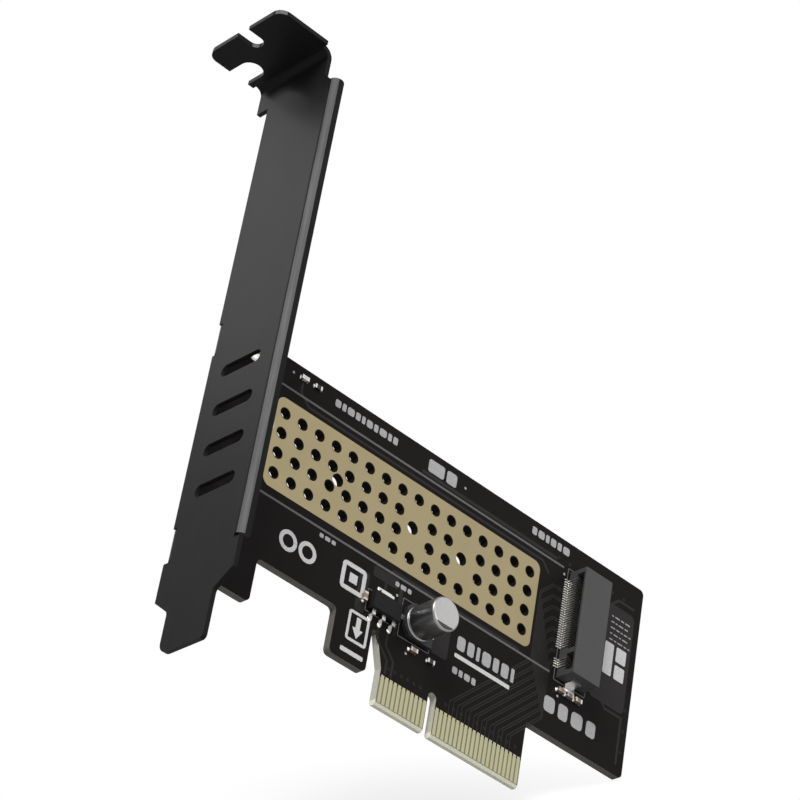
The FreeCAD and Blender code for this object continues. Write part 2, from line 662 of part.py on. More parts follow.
def bracket():
    """One folded steel sheet: plate with vents and foot, stiffening edge, tab and board ears."""
    body = new_body("bracket")
    sheet_size = size["bracket_sheet"]
    bend = size["bend_radius"]
    near = size["bracket_overhang"]
    far = near - size["bracket_width"]
    foot_near = near - size["foot_inset"]
    foot_far = foot_near - size["foot_width"]
    tab_far = far + size["tab_inset"]
    tab_near = tab_far + size["tab_width"]
    neck_far = far + size["neck_inset"]
    edge_line = far + sheet_size + bend
    ear_near = near + size["ear_stand"]
    ear_line = ear_near - sheet_size - bend
    base_near = near + size["base_spread"]
    crown_near = near + size["crown_spread"]
    tab_bend = size["tab_bend"]
    plate_top = size["bracket_top"] - sheet_size - tab_bend
    half_ear = size["ear_height"] / 2

    outline = [(foot_far, -size["bracket_drop"]), (foot_near, -size["bracket_drop"]),
               (foot_near, -size["slope_end"]), (base_near, -size["slope_start"])]
    for rise, side in zip(ears, (base_near, near)):
        low = rise - half_ear - size["ear_relief"]
        high = rise + half_ear + size["ear_relief"]
        outline += [(side, low), (ear_line, low), (ear_line, high), (near, high)]
    outline += [(near, size["crown_start"]), (crown_near, size["crown_start"]),
                (crown_near, plate_top), (neck_far, plate_top),
                (neck_far, size["flange_top"] + size["step_rise"]),
                (edge_line, size["flange_top"]),
                (edge_line, size["flange_bottom"] - size["relief"]),
                (far, size["flange_bottom"] - size["relief"]),
                (far, -size["shoulder_drop"]), (foot_far, -size["shoulder_end"])]
    sketch = new_sketch(body, "YZ_Plane", outer_face)
    polygon(sketch, outline)
    pad(body, sketch, sheet_size)
    middle = (outer_face + inner_face) / 2
    round_corners(body, [spot(middle, foot_near, -size["bracket_drop"])], size["foot_corner"])
    round_corners(body, [spot(middle, foot_far, -size["bracket_drop"])],
                  size["foot_corner_small"])
    round_corners(body, [spot(middle, foot_far, -size["shoulder_end"]),
                         spot(middle, foot_near, -size["slope_end"])], size["slope_fillet"])

    sketch = new_sketch(body, "YZ_Plane", inner_face)
    vent_middle = near - size["vent_offset"]
    half_run = (size["vent_length"] - size["vent_height"]) / 2
    slot(sketch, (vent_middle - half_run, size["vent_start"]),
         (vent_middle + half_run, size["vent_start"]), size["vent_height"])
    repeat(body, pocket(body, sketch), sketch, "V_Axis", size["vent_spacing"], size["vent_count"])

    sketch = new_sketch(body, "XY_Plane", size["flange_bottom"])
    free_edge = size["flange_depth"] - size["bracket_reach"]
    fold(sketch, (inner_face + bend, edge_line), bend, 180, 1, free_edge)
    pad(body, sketch, size["flange_top"] - size["flange_bottom"])
    round_corners(body, [spot(free_edge, far + sheet_size / 2, size["flange_top"])],
                  size["flange_corner"])

    sketch = facing(body, -crown_near)
    fold(sketch, (outer_face - tab_bend, plate_top), tab_bend, 0, 1)
    pad(body, sketch, crown_near - neck_far)

    sketch = new_sketch(body, "XY_Plane", size["bracket_top"] - sheet_size)
    tab_end = outer_face - size["tab_depth"]
    rectangle(sketch, (tab_end, tab_far), (outer_face - tab_bend, tab_near))
    pad(body, sketch, sheet_size)
    tab_middle = size["bracket_top"] - sheet_size / 2
    round_corners(body, [spot(tab_end, tab_far, tab_middle), spot(tab_end, tab_near, tab_middle)],
                  size["tab_corner"])
    sketch = new_sketch(body, "XY_Plane", size["bracket_top"])
    width = size["screw_notch_width"]
    notch_middle = outer_face - size["screw_notch_offset"]
    slot(sketch, (notch_middle, tab_near - size["screw_notch_end"] + width / 2),
         (notch_middle, tab_near + width), width)
    width = size["guide_notch_width"]
    guide_middle = tab_near - size["guide_notch_offset"]
    slot(sketch, (tab_end - width, guide_middle),
         (tab_end + size["guide_notch_depth"] - width / 2, guide_middle), width)
    pocket(body, sketch, sheet_size)

    ear_end = size["ear_reach"] - size["bracket_reach"]
    for rise in ears:
        sketch = new_sketch(body, "XY_Plane", rise - half_ear)
        inner_fold = arc(sketch, (inner_face + bend, ear_line), bend, 90)
        outer_fold = arc(sketch, (inner_face + bend, ear_line), bend + sheet_size, 90)
        join(sketch, [(inner_fold, 2, outer_fold, 2)])
        joggle_start = inner_face + bend + size["joggle_inset"]
        joggle_end = joggle_start + size["joggle_run"]
        chain(sketch, (inner_fold, 1),
              [(joggle_start, ear_near - sheet_size), (joggle_end, half_board),
               (ear_end, half_board), (ear_end, half_board + sheet_size),
               (joggle_end, half_board + sheet_size), (joggle_start, ear_near)],
              (outer_fold, 1))
        pad(body, sketch, size["ear_height"])
        ear_middle = half_board + sheet_size / 2
        round_corners(body, [spot(ear_end, ear_middle, rise - half_ear),
                             spot(ear_end, ear_middle, rise + half_ear)], size["ear_corner"])
        sketch = facing(body, 0)
        circle(sketch, (ear_hole, rise), size["screw_bore"])
        pocket(body, sketch)


def cross(sketch, centre, span, width):
    """Outline of a cross recess."""
    reach = span / 2
    arm = width / 2
    along, rise = centre
    polygon(sketch, [
        (along - reach, rise - arm), (along - arm, rise - arm), (along - arm, rise - reach),
        (along + arm, rise - reach), (along + arm, rise - arm), (along + reach, rise - arm),
        (along + reach, rise + arm), (along + arm, rise + arm), (along + arm, rise + reach),
        (along - arm, rise + reach), (along - arm, rise + arm), (along - reach, rise + arm)])


def pan_screw(body, centre, seat, head, head_height, shank, length, span, width, depth):
    """A screw with a cross-recessed head whose seat lies in front of the board."""
    sketch = facing(body, seat)
    circle(sketch, centre, head)
    pad(body, sketch, head_height)
    sketch = facing(body, seat)
    circle(sketch, centre, shank)
    pad(body, sketch, length, backwards=True)
    sketch = facing(body, seat + head_height)
    cross(sketch, centre, span, width)
    pocket(body, sketch, depth)
    return sketch


def bracket_screws():
    """The two screws that hold the board to the bracket's ears."""
    body = new_body("bracket_screws")
    seat = half_board
    length = size["board_thickness"] + size["bracket_sheet"] + size["screw_tip"]
    sketch = pan_screw(body, (ear_hole, size["lower_ear"]), seat, size["screw_head"],
                       size["screw_head_height"], size["screw_bore"] - size["screw_play"],
                       length, size["recess_span"], size["recess_width"], size["recess_depth"])
    repeat(body, None, sketch, "V_Axis", size["upper_ear"] - size["lower_ear"], as_size(2))


def standoff():
    """Turned brass post whose stem passes through the board."""
    body = new_body("standoff")
    centre = (standoff_place, size["module_height"])
    sketch = facing(body, half_board)
    circle(sketch, centre, size["standoff_diameter"])
    pad(body, sketch, size["standoff_height"])
    sketch = facing(body, half_board)
    circle(sketch, centre, size["mounting_bore"] - size["stem_play"])
    stem = size["board_thickness"] + size["nut_height"] + size["stem_beyond_nut"]
    pad(body, sketch, stem, backwards=True)
    sketch = facing(body, half_board + size["standoff_height"])
    circle(sketch, centre, size["seat_bore"])
    pocket(body, sketch, size["seat_bore_depth"])


def standoff_nut():
    """Hexagon nut on the standoff's stem, on the solder side."""
    body = new_body("standoff_nut")
    sketch = facing(body, -half_board)
    along = standoff_place
    rise = size["module_height"]
    flat_half = size["nut_across"] / 2
    reach = flat_half * (2 / math.sqrt(3))
    polygon(sketch, [
        (along + reach, rise), (along + reach / 2, rise + flat_half),
        (along - reach / 2, rise + flat_half), (along - reach, rise),
        (along - reach / 2, rise - flat_half), (along + reach / 2, rise - flat_half)])
    circle(sketch, (along, rise), size["mounting_bore"] - size["stem_play"] + size["nut_play"])
    pad(body, sketch, size["nut_height"], backwards=True)


def drive_screw():
    """Wide-headed screw that clamps the drive on the standoff."""
    body = new_body("drive_screw")
    pan_screw(body, (standoff_place, size["module_height"]),
              half_board + size["standoff_height"], size["clamp_head"],
              size["clamp_head_height"], size["seat_bore"] - size["screw_play"],
              size["clamp_length"], size["small_recess_span"], size["small_recess_width"],
              size["small_recess_depth"])


def pin_rise(number):
    """Height of a socket contact on the board: pins count up from the top, half a pitch each."""
    return size["module_height"] - (number - 38) * size["pin_spacing"] / 2


# First pin of each run: the key rib stands where pins 59 to 66 would be.
UPPER_RUNS = ((1, "pins_before_key"), (67, "upper_pins_after_key"))
LOWER_RUNS = ((2, "pins_before_key"), (68, "lower_pins_after_key"))


def upper_level():
    """Board's middle to the inner side of the upper contacts."""
    return (half_board + size["mouth_floor"] + size["mouth_height"]
            - size["pin_sheet"] - 4 * size["pin_clearance"])


def socket_housing():
    """Moulded housing: mouth with its key rib and a passage for each upper contact."""
    body = new_body("socket_housing")
    middle = size["module_height"]
    sketch = facing(body, half_board)
    rectangle(sketch, (socket_front, middle - size["socket_length"] / 2),
              (socket_back, middle + size["socket_length"] / 2))
    pad(body, sketch, size["socket_height"])

    sketch = new_sketch(body, "YZ_Plane", socket_front)
    floor = -half_board - size["mouth_floor"]
    roof = floor - size["mouth_height"]
    rib = middle - size["rib_offset"]
    rectangle(sketch, (roof, middle - size["mouth_length"] / 2),
              (floor, rib - size["rib_width"] / 2))
    rectangle(sketch, (roof, rib + size["rib_width"] / 2),
              (floor, middle + size["mouth_length"] / 2))
    pocket(body, sketch, size["mouth_depth"], backwards=True)

    for first, count in UPPER_RUNS:
        sketch = new_sketch(body, "YZ_Plane", socket_front + size["mouth_depth"])
        low = upper_level() - size["pin_clearance"]
        high = upper_level() + size["pin_sheet"] + size["pin_clearance"]
        half_passage = size["pin_width"] / 2 + size["pin_clearance"]
        last = pin_rise(first + 2 * (int(size[count].number) - 1))
        rectangle(sketch, (-high, last - half_passage), (-low, last + half_passage))
        passage = pocket(body, sketch, size["socket_depth"], backwards=True)
        repeat(body, passage, sketch, "V_Axis", size["pin_spacing"], size[count])


def socket_contacts(label, runs, section):
    """A row of formed contacts: one section, extruded to a contact's width and repeated."""
    body = new_body(label)
    for first, count in runs:
        last = pin_rise(first + 2 * (int(size[count].number) - 1))
        sketch = new_sketch(body, "XY_Plane", last - size["pin_width"] / 2)
        polygon(sketch, section)
        formed = pad(body, sketch, size["pin_width"])
        repeat(body, formed, sketch, "N_Axis", size["pin_spacing"], size[count])


def socket_upper_contacts():
    """Contacts above the drive: from the mouth through the housing and down behind it."""
    level = upper_level()
    top = level + size["pin_sheet"]
    back = socket_back + size["pin_clearance"]
    outside = back + size["pin_sheet"]
    tip = socket_front + size["pin_tail"]
    board_face = -half_board
    socket_contacts("socket_upper_contacts", UPPER_RUNS, [
        (tip, -level), (tip, -top), (outside, -top), (outside, board_face - size["pin_sheet"]),
        (back + size["pin_tail"], board_face - size["pin_sheet"]),
        (back + size["pin_tail"], board_face), (back, board_face), (back, -level)])


def socket_lower_contacts():
    """Contacts below the drive: up the housing's front and back along the mouth's floor."""
    level = half_board + size["mouth_floor"] + size["pin_clearance"]
    top = level + size["pin_sheet"]
    front = socket_front - size["pin_clearance"]
    outside = front - size["pin_sheet"]
    tip = socket_front + size["mouth_depth"] - size["pin_tail"]
    board_face = -half_board
    socket_contacts("socket_lower_contacts", LOWER_RUNS, [
        (tip, -level), (tip, -top), (outside, -top), (outside, board_face - size["pin_sheet"]),
        (front - size["pin_tail"], board_face - size["pin_sheet"]),
        (front - size["pin_tail"], board_face), (front, board_face), (front, -level)])


def socket_hold_downs():
    """The soldered metal tabs on the socket's two ends."""
    body = new_body("socket_hold_downs")
    middle = (socket_front + socket_back) / 2
    low_side = middle - size["hold_down_width"] / 2
    for side in (-1, 1):
        wall = size["module_height"] + side * size["socket_length"] / 2
        outside = wall + side * size["hold_down_sheet"]
        foot = wall + side * size["hold_down_foot"]
        sketch = new_sketch(body, "YZ_Plane", low_side)
        base = -half_board
        polygon(sketch, [
            (base, wall), (base, foot), (base - size["hold_down_sheet"], foot),
            (base - size["hold_down_sheet"], outside), (base - size["hold_down_rise"], outside),
            (base - size["hold_down_rise"], wall)])
        pad(body, sketch, size["hold_down_width"])


def capacitor_can():
    """Drawn aluminium can with a crimped groove."""
    body = new_body("capacitor_can")
    sketch = new_sketch(body, "YZ_Plane", -size["can_reach"])
    rise = size["can_place"]
    wall = rise + size["can_diameter"] / 2
    groove = size["can_groove"]
    foot = -half_board - size["base_height"]
    top = -half_board - size["can_top"]
    polygon(sketch, [
        (foot, rise), (foot, wall), (foot - groove, wall - groove),
        (foot - 2 * groove, wall), (top, wall), (top, rise)])
    line = Part.LineSegment(flat((foot, rise)), flat((top, rise)))
    sketch.addGeometry(line, True)
    axis = sketch.GeometryCount - 1
    place(sketch, axis, 1, (foot, rise))
    place(sketch, axis, 2, (top, rise))
    turned = body.newObject("PartDesign::Revolution", "Revolution")
    turned.Profile = sketch
    turned.ReferenceAxis = (sketch, ["Axis0"])
    turned.Angle = 360
    document.recompute()
    dress(body, "Chamfer", [rim_at(body, spot(-size["can_reach"], top, rise),
                                   size["can_diameter"])], size["can_edge"])


def capacitor_base():
    """Moulded base plate with two cut corners that mark the positive lead."""
    body = new_body("capacitor_base")
    sketch = facing(body, half_board + size["lead_sheet"])
    half = size["base_side"] / 2
    cut = size["base_chamfer"]
    left = -size["can_reach"] - half
    right = -size["can_reach"] + half
    low = size["can_place"] - half
    high = size["can_place"] + half
    polygon(sketch, [(left + cut, low), (right, low), (right, high), (left + cut, high),
                     (left, high - cut), (left, low + cut)])
    pad(body, sketch, size["base_height"] - size["lead_sheet"])


def capacitor_leads():
    """The can's two flat solder leads."""
    body = new_body("capacitor_leads")
    sketch = facing(body, half_board)
    outer = size["base_side"] / 2 + size["can_lead_beyond"]
    inner = outer - size["can_lead_length"]
    low = size["can_place"] - size["can_lead_width"] / 2
    high = size["can_place"] + size["can_lead_width"] / 2
    rectangle(sketch, (-size["can_reach"] - outer, low), (-size["can_reach"] - inner, high))
    rectangle(sketch, (inner - size["can_reach"], low), (outer - size["can_reach"], high))
    pad(body, sketch, size["lead_sheet"])


def regulator_package():
    """Moulded package, drafted both ways from its parting plane."""
    body = new_body("regulator_package")
    parting = half_board + size["regulator_stand"] + size["regulator_height"] / 2
    for backwards in (False, True):
        sketch = facing(body, parting)
        rectangle(sketch, (-size["regulator_reach"] - size["regulator_length"] / 2,
                           size["regulator_place"] - size["regulator_width"] / 2),
                  (-size["regulator_reach"] + size["regulator_length"] / 2,
                   size["regulator_place"] + size["regulator_width"] / 2))
        half = pad(body, sketch, size["regulator_height"] / 2, backwards)
        bind(half, "TaperAngle", -size["regulator_draft"])
    document.recompute()


def regulator_leads():
    """Three narrow leads below the package and the wide one above it."""
    body = new_body("regulator_leads")
    parting = half_board + size["regulator_stand"] + size["regulator_height"] / 2
    lead = size["lead_sheet"]
    high = parting + lead / 2
    for side, width, count in ((-1, size["regulator_lead_width"], 3),
                               (1, size["regulator_tab_width"], 1)):
        wall = size["regulator_place"] + side * size["regulator_width"] / 2
        knee = wall + side * size["regulator_lead_beyond"] / 2
        end = wall + side * size["regulator_lead_beyond"]
        first = (-size["regulator_reach"] - size["regulator_spacing"] * ((count - 1) / 2)
                 - width / 2)
        sketch = new_sketch(body, "YZ_Plane", first)
        base = -half_board
        polygon(sketch, [
            (-high, wall), (lead - high, wall), (lead - high, knee - side * lead / 2),
            (base, knee - side * lead / 2), (base, end), (base - lead, end),
            (base - lead, knee + side * lead / 2), (-high, knee + side * lead / 2)])
        formed = pad(body, sketch, width)
        if count > 1:
            repeat(body, formed, sketch, "N_Axis", size["regulator_spacing"], as_size(count))


def box(low, high):
    """A block between two corners, each corner three sizes."""
    block = document.addObject("Part::Box", "Block")
    for number, side in enumerate(("Length", "Width", "Height")):
        bind(block, side, high[number] - low[number])
        bind(block, f"Placement.Base.{'xyz'[number]}", low[number])
    return block


def chips(label, blocks):
    """Several like small parts as one group."""
    group = document.addObject("Part::Compound", label)
    group.Label = label
    group.Links = blocks
    parts[label] = group


def chip_parts():
    """Chip capacitors, chip resistors and the status lamp, each with two metal ends."""
    ends = []
    lamp_place = board_left + size["lamp_inset"]
    lamp_height = size["board_height"] - size["lamp_drop"]
    rows = {
        "ceramic_capacitors": (size["capacitor_rise"], [
            (socket_front + size["chip_row_inset"] + step * size["chip_row_spacing"],
             size["module_height"] - size["socket_length"] / 2 - size["chip_row_drop"], False)
            for step in range(3)]
            + [(-size["regulator_reach"] - size["chip_side_gap"], size["regulator_place"], True),
               (-size["can_reach"], size["small_chip_place"], False)]),
        "chip_resistors": (size["resistor_rise"], [
            (lamp_place + size["lamp_gap"], lamp_height, False),
            (size["chip_side_gap"] - size["can_reach"], size["small_chip_place"], False)]),
        "status_lamp": (size["lamp_rise"], [(lamp_place, lamp_height, False)]),
    }
    for label, (rise, places) in rows.items():
        bodies = []
        for along, height, upright in places:
            long_half = size["chip_length"] / 2
            wide_half = size["chip_width"] / 2
            end = size["chip_end"]
            for inner, outer, keep in ((end - long_half, long_half - end, bodies),
                                       (-long_half, end - long_half, ends),
                                       (long_half - end, long_half, ends)):
                if upright:
                    low = (along - wide_half, -half_board - rise, height + inner)
                    high = (along + wide_half, -half_board, height + outer)
                else:
                    low = (along + inner, -half_board - rise, height - wide_half)
                    high = (along + outer, -half_board, height + wide_half)
                keep.append(box(low, high))
        chips(label, bodies)
    chips("chip_ends", ends)


def export_parts():
    """Check every object of the document, then write one STEP file for each part."""
    document.recompute()
    for thing in document.Objects:
        if "Invalid" in thing.State or "Error" in thing.State:
            raise RuntimeError(f"{thing.Label} failed: {thing.State}")
    for label, thing in parts.items():
        if thing.Shape.isNull() or not thing.Shape.isValid():
            raise RuntimeError(f"{label} has no valid shape")
    os.makedirs("parts", exist_ok=True)
    for label, thing in parts.items():
        thing.Shape.exportStep(f"parts/{label}.step")
        print(f"{label}: {len(thing.Shape.Solids)} solids, {thing.Shape.Volume:.2f} mm3")


circuit_board()
cooling_pad()
edge_contacts("edge_contacts_front", half_board, False)
edge_contacts("edge_contacts_back", -half_board, True)
bracket()
bracket_screws()
standoff()
standoff_nut()
drive_screw()
socket_housing()
socket_upper_contacts()
socket_lower_contacts()
socket_hold_downs()
capacitor_can()
capacitor_base()
capacitor_leads()
regulator_package()
regulator_leads()
chip_parts()
export_parts()
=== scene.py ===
import json
import math

import bmesh
import bpy
import numpy as np
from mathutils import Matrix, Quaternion, Vector


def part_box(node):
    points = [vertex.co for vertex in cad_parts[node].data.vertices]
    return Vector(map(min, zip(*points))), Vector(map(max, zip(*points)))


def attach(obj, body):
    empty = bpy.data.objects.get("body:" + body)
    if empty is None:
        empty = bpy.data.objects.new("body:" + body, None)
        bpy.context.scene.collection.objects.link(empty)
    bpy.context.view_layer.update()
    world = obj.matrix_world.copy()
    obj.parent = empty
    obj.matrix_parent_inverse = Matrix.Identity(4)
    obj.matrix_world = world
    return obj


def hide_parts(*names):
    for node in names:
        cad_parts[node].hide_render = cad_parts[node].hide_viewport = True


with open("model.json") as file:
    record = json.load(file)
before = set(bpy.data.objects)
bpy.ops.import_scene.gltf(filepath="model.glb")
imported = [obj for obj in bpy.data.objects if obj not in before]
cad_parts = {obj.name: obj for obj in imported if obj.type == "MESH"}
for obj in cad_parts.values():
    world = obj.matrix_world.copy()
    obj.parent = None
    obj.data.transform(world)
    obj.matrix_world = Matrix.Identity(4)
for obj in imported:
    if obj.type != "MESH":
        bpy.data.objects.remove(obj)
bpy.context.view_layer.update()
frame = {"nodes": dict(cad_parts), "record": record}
mm = 0.001
mergeReach = 0.0002 * mm      # corners nearer than this become one


def boxOf(node):
    # A node's lowest and highest corner, in millimetres
    return [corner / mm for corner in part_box(node)]


def addToScene(name, data):
    holder = bpy.data.objects.new(name, data)
    bpy.context.collection.objects.link(holder)
    return holder


print("frame loaded")


class Channel:
    # A number socket, so that shader maths reads as an expression

    def __init__(self, maker, socket):
        self.maker = maker
        self.socket = socket

    def math(self, operation, first, second=None):
        inputs = {0: first}
        if second is not None:
            inputs[1] = second
        made = self.maker.node("ShaderNodeMath", {"operation": operation}, inputs)
        return Channel(self.maker, made.outputs[0])

    def __add__(self, other):
        return self.math("ADD", self, other)

    def __radd__(self, other):
        return self.math("ADD", other, self)

    def __sub__(self, other):
        return self.math("SUBTRACT", self, other)

    def __rsub__(self, other):
        return self.math("SUBTRACT", other, self)

    def __mul__(self, other):
        return self.math("MULTIPLY", self, other)

    def __rmul__(self, other):
        return self.math("MULTIPLY", other, self)

    def __truediv__(self, other):
        return self.math("DIVIDE", self, other)

    def __gt__(self, other):
        return self.math("GREATER_THAN", self, other)

    def __lt__(self, other):
        return self.math("LESS_THAN", self, other)

    def __abs__(self):
        return self.math("ABSOLUTE", self)

    def between(self, low, high):
        return (self > low) * (self < high)

    def most(self, other):
        return self.math("MAXIMUM", self, other)

    def clamped(self):
        return self.math("MINIMUM", self, 1.0).most(0.0)


class NodeMaker:
    # Adds nodes to one tree: a node's settings come first, then its sockets' values or links

    def __init__(self, tree):
        self.tree = tree
        tree.nodes.clear()

    def join(self, value, socket):
        if isinstance(value, Channel):
            value = value.socket
        if isinstance(value, bpy.types.NodeSocket):
            self.tree.links.new(value, socket)
        else:
            socket.default_value = value

    def node(self, kind, settings=None, inputs=None):
        made = self.tree.nodes.new(kind)
        for name, value in (settings or {}).items():
            if name == "stops":
                for element, (place, colour) in zip(made.color_ramp.elements, value):
                    element.position = place
                    element.color = colour
            else:
                setattr(made, name, value)
        for name, value in (inputs or {}).items():
            self.join(value, made.inputs[name])
        return made

    def mixShaders(self, share, first, second):
        return self.node("ShaderNodeMixShader", inputs={
            0: share, 1: first.outputs[0], 2: second.outputs[0]})

    def looked(self):
        # 1 where the camera looks straight, in a reflection or through something clear, else 0
        path = self.node("ShaderNodeLightPath")
        rays = [Channel(self, path.outputs[kind])
                for kind in ("Is Camera Ray", "Is Glossy Ray", "Is Transmission Ray")]
        return rays[0].most(rays[1]).most(rays[2])


class Recipe(NodeMaker):
    # A material with one shader, and short ways to feed it

    def __init__(self, name, **sockets):
        self.material = bpy.data.materials.new(name)
        self.material.use_nodes = True
        super().__init__(self.material.node_tree)
        self.shader = self.node("ShaderNodeBsdfPrincipled")
        self.node("ShaderNodeOutputMaterial", inputs={"Surface": self.shader.outputs[0]})
        self.coords = self.node("ShaderNodeTexCoord").outputs["Object"]
        self.feed(**sockets)

    def feed(self, **sockets):
        # Sockets by their names with the blanks left out, such as BaseColor
        for socket in self.shader.inputs:
            name = socket.name.replace(" ", "")
            if name in sockets:
                self.join(sockets[name], socket)

    def parts(self, vector):
        split = self.node("ShaderNodeSeparateXYZ", inputs={0: vector})
        return [Channel(self, part) for part in split.outputs]

    def axes(self):
        return self.parts(self.coords)

    def facing(self):
        # The x, y and z of the surface's own direction
        return self.parts(self.node("ShaderNodeNewGeometry").outputs["True Normal"])

    def noise(self, scale, detail=3.0, stretch=None):
        # Soft noise, drawn out along an axis whose factor is small
        vector = self.coords
        if stretch:
            vector = self.node("ShaderNodeMapping", inputs={"Vector": vector, "Scale": stretch}).outputs[0]
        made = self.node("ShaderNodeTexNoise", inputs={"Vector": vector, "Scale": scale, "Detail": detail})
        return Channel(self, made.outputs[0])

    def ramp(self, value, *stops):
        return self.node("ShaderNodeValToRGB", {"stops": stops}, {0: value}).outputs[0]

    def blend(self, share, first, second):
        made = self.node("ShaderNodeMix", {"data_type": "RGBA"}, {0: share, 6: first, 7: second})
        return made.outputs[2]

    def relief(self, height, distance, strength):
        # Bumps as high as the distance, in millimetres
        made = self.node("ShaderNodeBump", inputs={
            "Height": height, "Distance": distance * mm, "Strength": strength})
        self.feed(Normal=made.outputs[0])


def grey(level, warmth=0.0):
    # A neutral tone, with a share more red and less blue where it is warm
    return (level * (1 + warmth), level, level * (1 - warmth), 1.0)


def deeper(colour, share):
    # The same hue, darker: each part of the colour times a share
    return tuple(part * share for part in colour[:3]) + (1.0,)


def solderMask():
    # Black mask on the faces; the cut edges show the laminate, its weave in layers
    settings = {
        "mask": (0.0085, 0.0068, 0.0066, 1), "mottled": (0.0125, 0.0102, 0.0105, 1),
        "laminate": (0.19, 0.18, 0.16, 1), "resin": (0.11, 0.105, 0.095, 1),
        # The holes' walls: the same laminate painted near black, as painted shade inside the holes
        "bore": (0.011, 0.01, 0.009, 1),
        "bevel": (0.78, 0.77, 0.62, 1), "bevelRise": 0.4,            # up from the contacts' lower ends
        "bare": (0.2, 0.195, 0.135, 1), "bareTop": 5.35,             # height of the mask's edge on the tongue
        # The tongue's cut sides are the same laminate, painted paler: painted light for the lamp falling on
        # them
        "tongueEdge": (0.5, 0.485, 0.42, 1), "slitTop": 12.6,        # height of the tongue's own sides
        "beforeContacts": 3.3, "pastContacts": 1.0,                  # the tongue's reach past its contacts
        "weave": 2600, "cloud": 140, "grain": 900,                   # scales of the patterns
        "rough": 0.36, "cloudRough": 0.1, "edgeRough": 0.25,
    }
    recipe = Recipe("solder mask", IOR=1.45, SpecularIORLevel=0.03)
    across, _, up = recipe.axes()
    edge = abs(recipe.facing()[1]) < 0.9         # all but the two flat faces
    fingersLow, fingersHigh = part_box("edge_contacts_front")
    padFoot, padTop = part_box("cooling_pad")
    bevel = edge * (up < fingersLow.z + settings["bevelRise"] * mm)
    boreShade = across.between(padFoot.x, padTop.x) * up.between(padFoot.z, padTop.z)
    tongueSpan = across.between(fingersLow.x - settings["beforeContacts"] * mm,
                                fingersHigh.x + settings["pastContacts"] * mm)
    bare = (up < settings["bareTop"] * mm) * tongueSpan
    litTongueSides = tongueSpan * (up < settings["slitTop"] * mm)
    weave = recipe.noise(settings["weave"], 2, (0.25, 3, 0.25))
    cloudy = recipe.noise(settings["cloud"], 4)
    face = recipe.blend(cloudy, settings["mask"], settings["mottled"])
    face = recipe.blend(bare, face, settings["bare"])
    laminate = recipe.blend(weave, settings["resin"], settings["laminate"])
    # Painted light: the tongue's sides take the paler laminate
    laminate = recipe.blend(litTongueSides, laminate, settings["tongueEdge"])
    laminate = recipe.blend(bevel, laminate, settings["bevel"])
    # Painted shade: the walls of the holes in the pad's area are near black
    laminate = recipe.blend(boreShade, laminate, settings["bore"])
    recipe.feed(
        BaseColor=recipe.blend(edge, face, laminate),
        Roughness=settings["rough"] + cloudy * settings["cloudRough"] + edge * settings["edgeRough"])
    recipe.relief(weave * 0.3 + recipe.noise(settings["grain"]), 0.02, 0.35)
    return recipe.material


def goldPlate(name, colour, rough=0.34):
    # Thin gold over nickel: satin, with the copper's faint grain and slow changes of tone
    settings = {"grain": 5200, "slow": 170, "deep": 0.86, "grainRough": 0.14}
    recipe = Recipe(name, Metallic=1.0)
    grain = recipe.noise(settings["grain"])
    slow = recipe.noise(settings["slow"])
    recipe.feed(
        BaseColor=recipe.blend(slow, deeper(colour, settings["deep"]), colour),
        Roughness=rough + grain * settings["grainRough"])
    recipe.relief(grain, 0.006, 0.5)
    return recipe.material


def blackBracket():
    # Cold-rolled steel under black zinc: fine rolling lines, satin, and a painted highlight: paler along the
    # upright folds
    settings = {
        "black": (grey(0.008, 0.01), grey(0.0145, 0.01)), "rubbed": (grey(0.07), grey(0.155)),
        "foldSide": 0.95, "foldEnd": 0.3,     # a fold's direction: neither flat on a side nor up or down
        "rolling": 900, "pores": 4200, "smoke": 60, "rough": 0.3, "rollingRough": 0.12,
    }
    recipe = Recipe("black bracket", IOR=1.5, SpecularIORLevel=0.035)
    rolled = recipe.noise(settings["rolling"], 3, (4, 4, 0.1))
    pores = recipe.noise(settings["pores"], 2)
    smoky = recipe.noise(settings["smoke"], 4)
    tone = (rolled * 0.5 + smoky * 0.5).clamped()
    normalX, normalY, normalZ = recipe.facing()
    side, end = settings["foldSide"], settings["foldEnd"]
    # The upright folds are painted paler than the flat black: a painted highlight for the lamps' glint on the
    # bends
    fold = (abs(normalX) < side) * (abs(normalY) < side) * (abs(normalZ) < end)
    black, rubbed = [recipe.ramp(tone, (0.3, settings[finish][0]), (0.7, settings[finish][1]))
                     for finish in ("black", "rubbed")]
    recipe.feed(
        BaseColor=recipe.blend(fold, black, rubbed),
        Roughness=settings["rough"] + rolled * settings["rollingRough"])
    recipe.relief(rolled * 0.6 + pores * 0.4, 0.012, 0.35)
    return recipe.material


def moulded(name, level, rough, gloss=0.3, sparkle=0.02):
    # Glass-filled moulding compound: matt, with fine pale specks where its noise is high
    settings = {"specks": 6500, "speckShare": 0.66, "slow": 400, "spread": 0.15, "slowRough": 0.1}
    recipe = Recipe(name, IOR=1.5, SpecularIORLevel=gloss)
    specks = recipe.noise(settings["specks"], 2) > settings["speckShare"]
    slow = recipe.noise(settings["slow"])
    base = recipe.blend(slow, grey(level * (1 - settings["spread"])), grey(level * (1 + settings["spread"])))
    recipe.feed(
        BaseColor=recipe.blend(specks, base, grey(level + sparkle)),
        Roughness=rough + slow * settings["slowRough"])
    recipe.relief(recipe.noise(3000), 0.01, 0.5)
    return recipe.material


def brightMetal(name, colour, rough, grainScale=(1, 1, 1)):
    # Plated or bare metal with drawing or turning lines
    settings = {"lines": 3500, "slow": 300, "deep": 0.82, "lineRough": 0.12}
    recipe = Recipe(name, Metallic=1.0)
    lines = recipe.noise(settings["lines"], 3, grainScale)
    slow = recipe.noise(settings["slow"])
    recipe.feed(
        BaseColor=recipe.blend(slow, deeper(colour, settings["deep"]), colour),
        Roughness=rough + lines * settings["lineRough"])
    recipe.relief(lines, 0.004, 0.6)
    return recipe.material


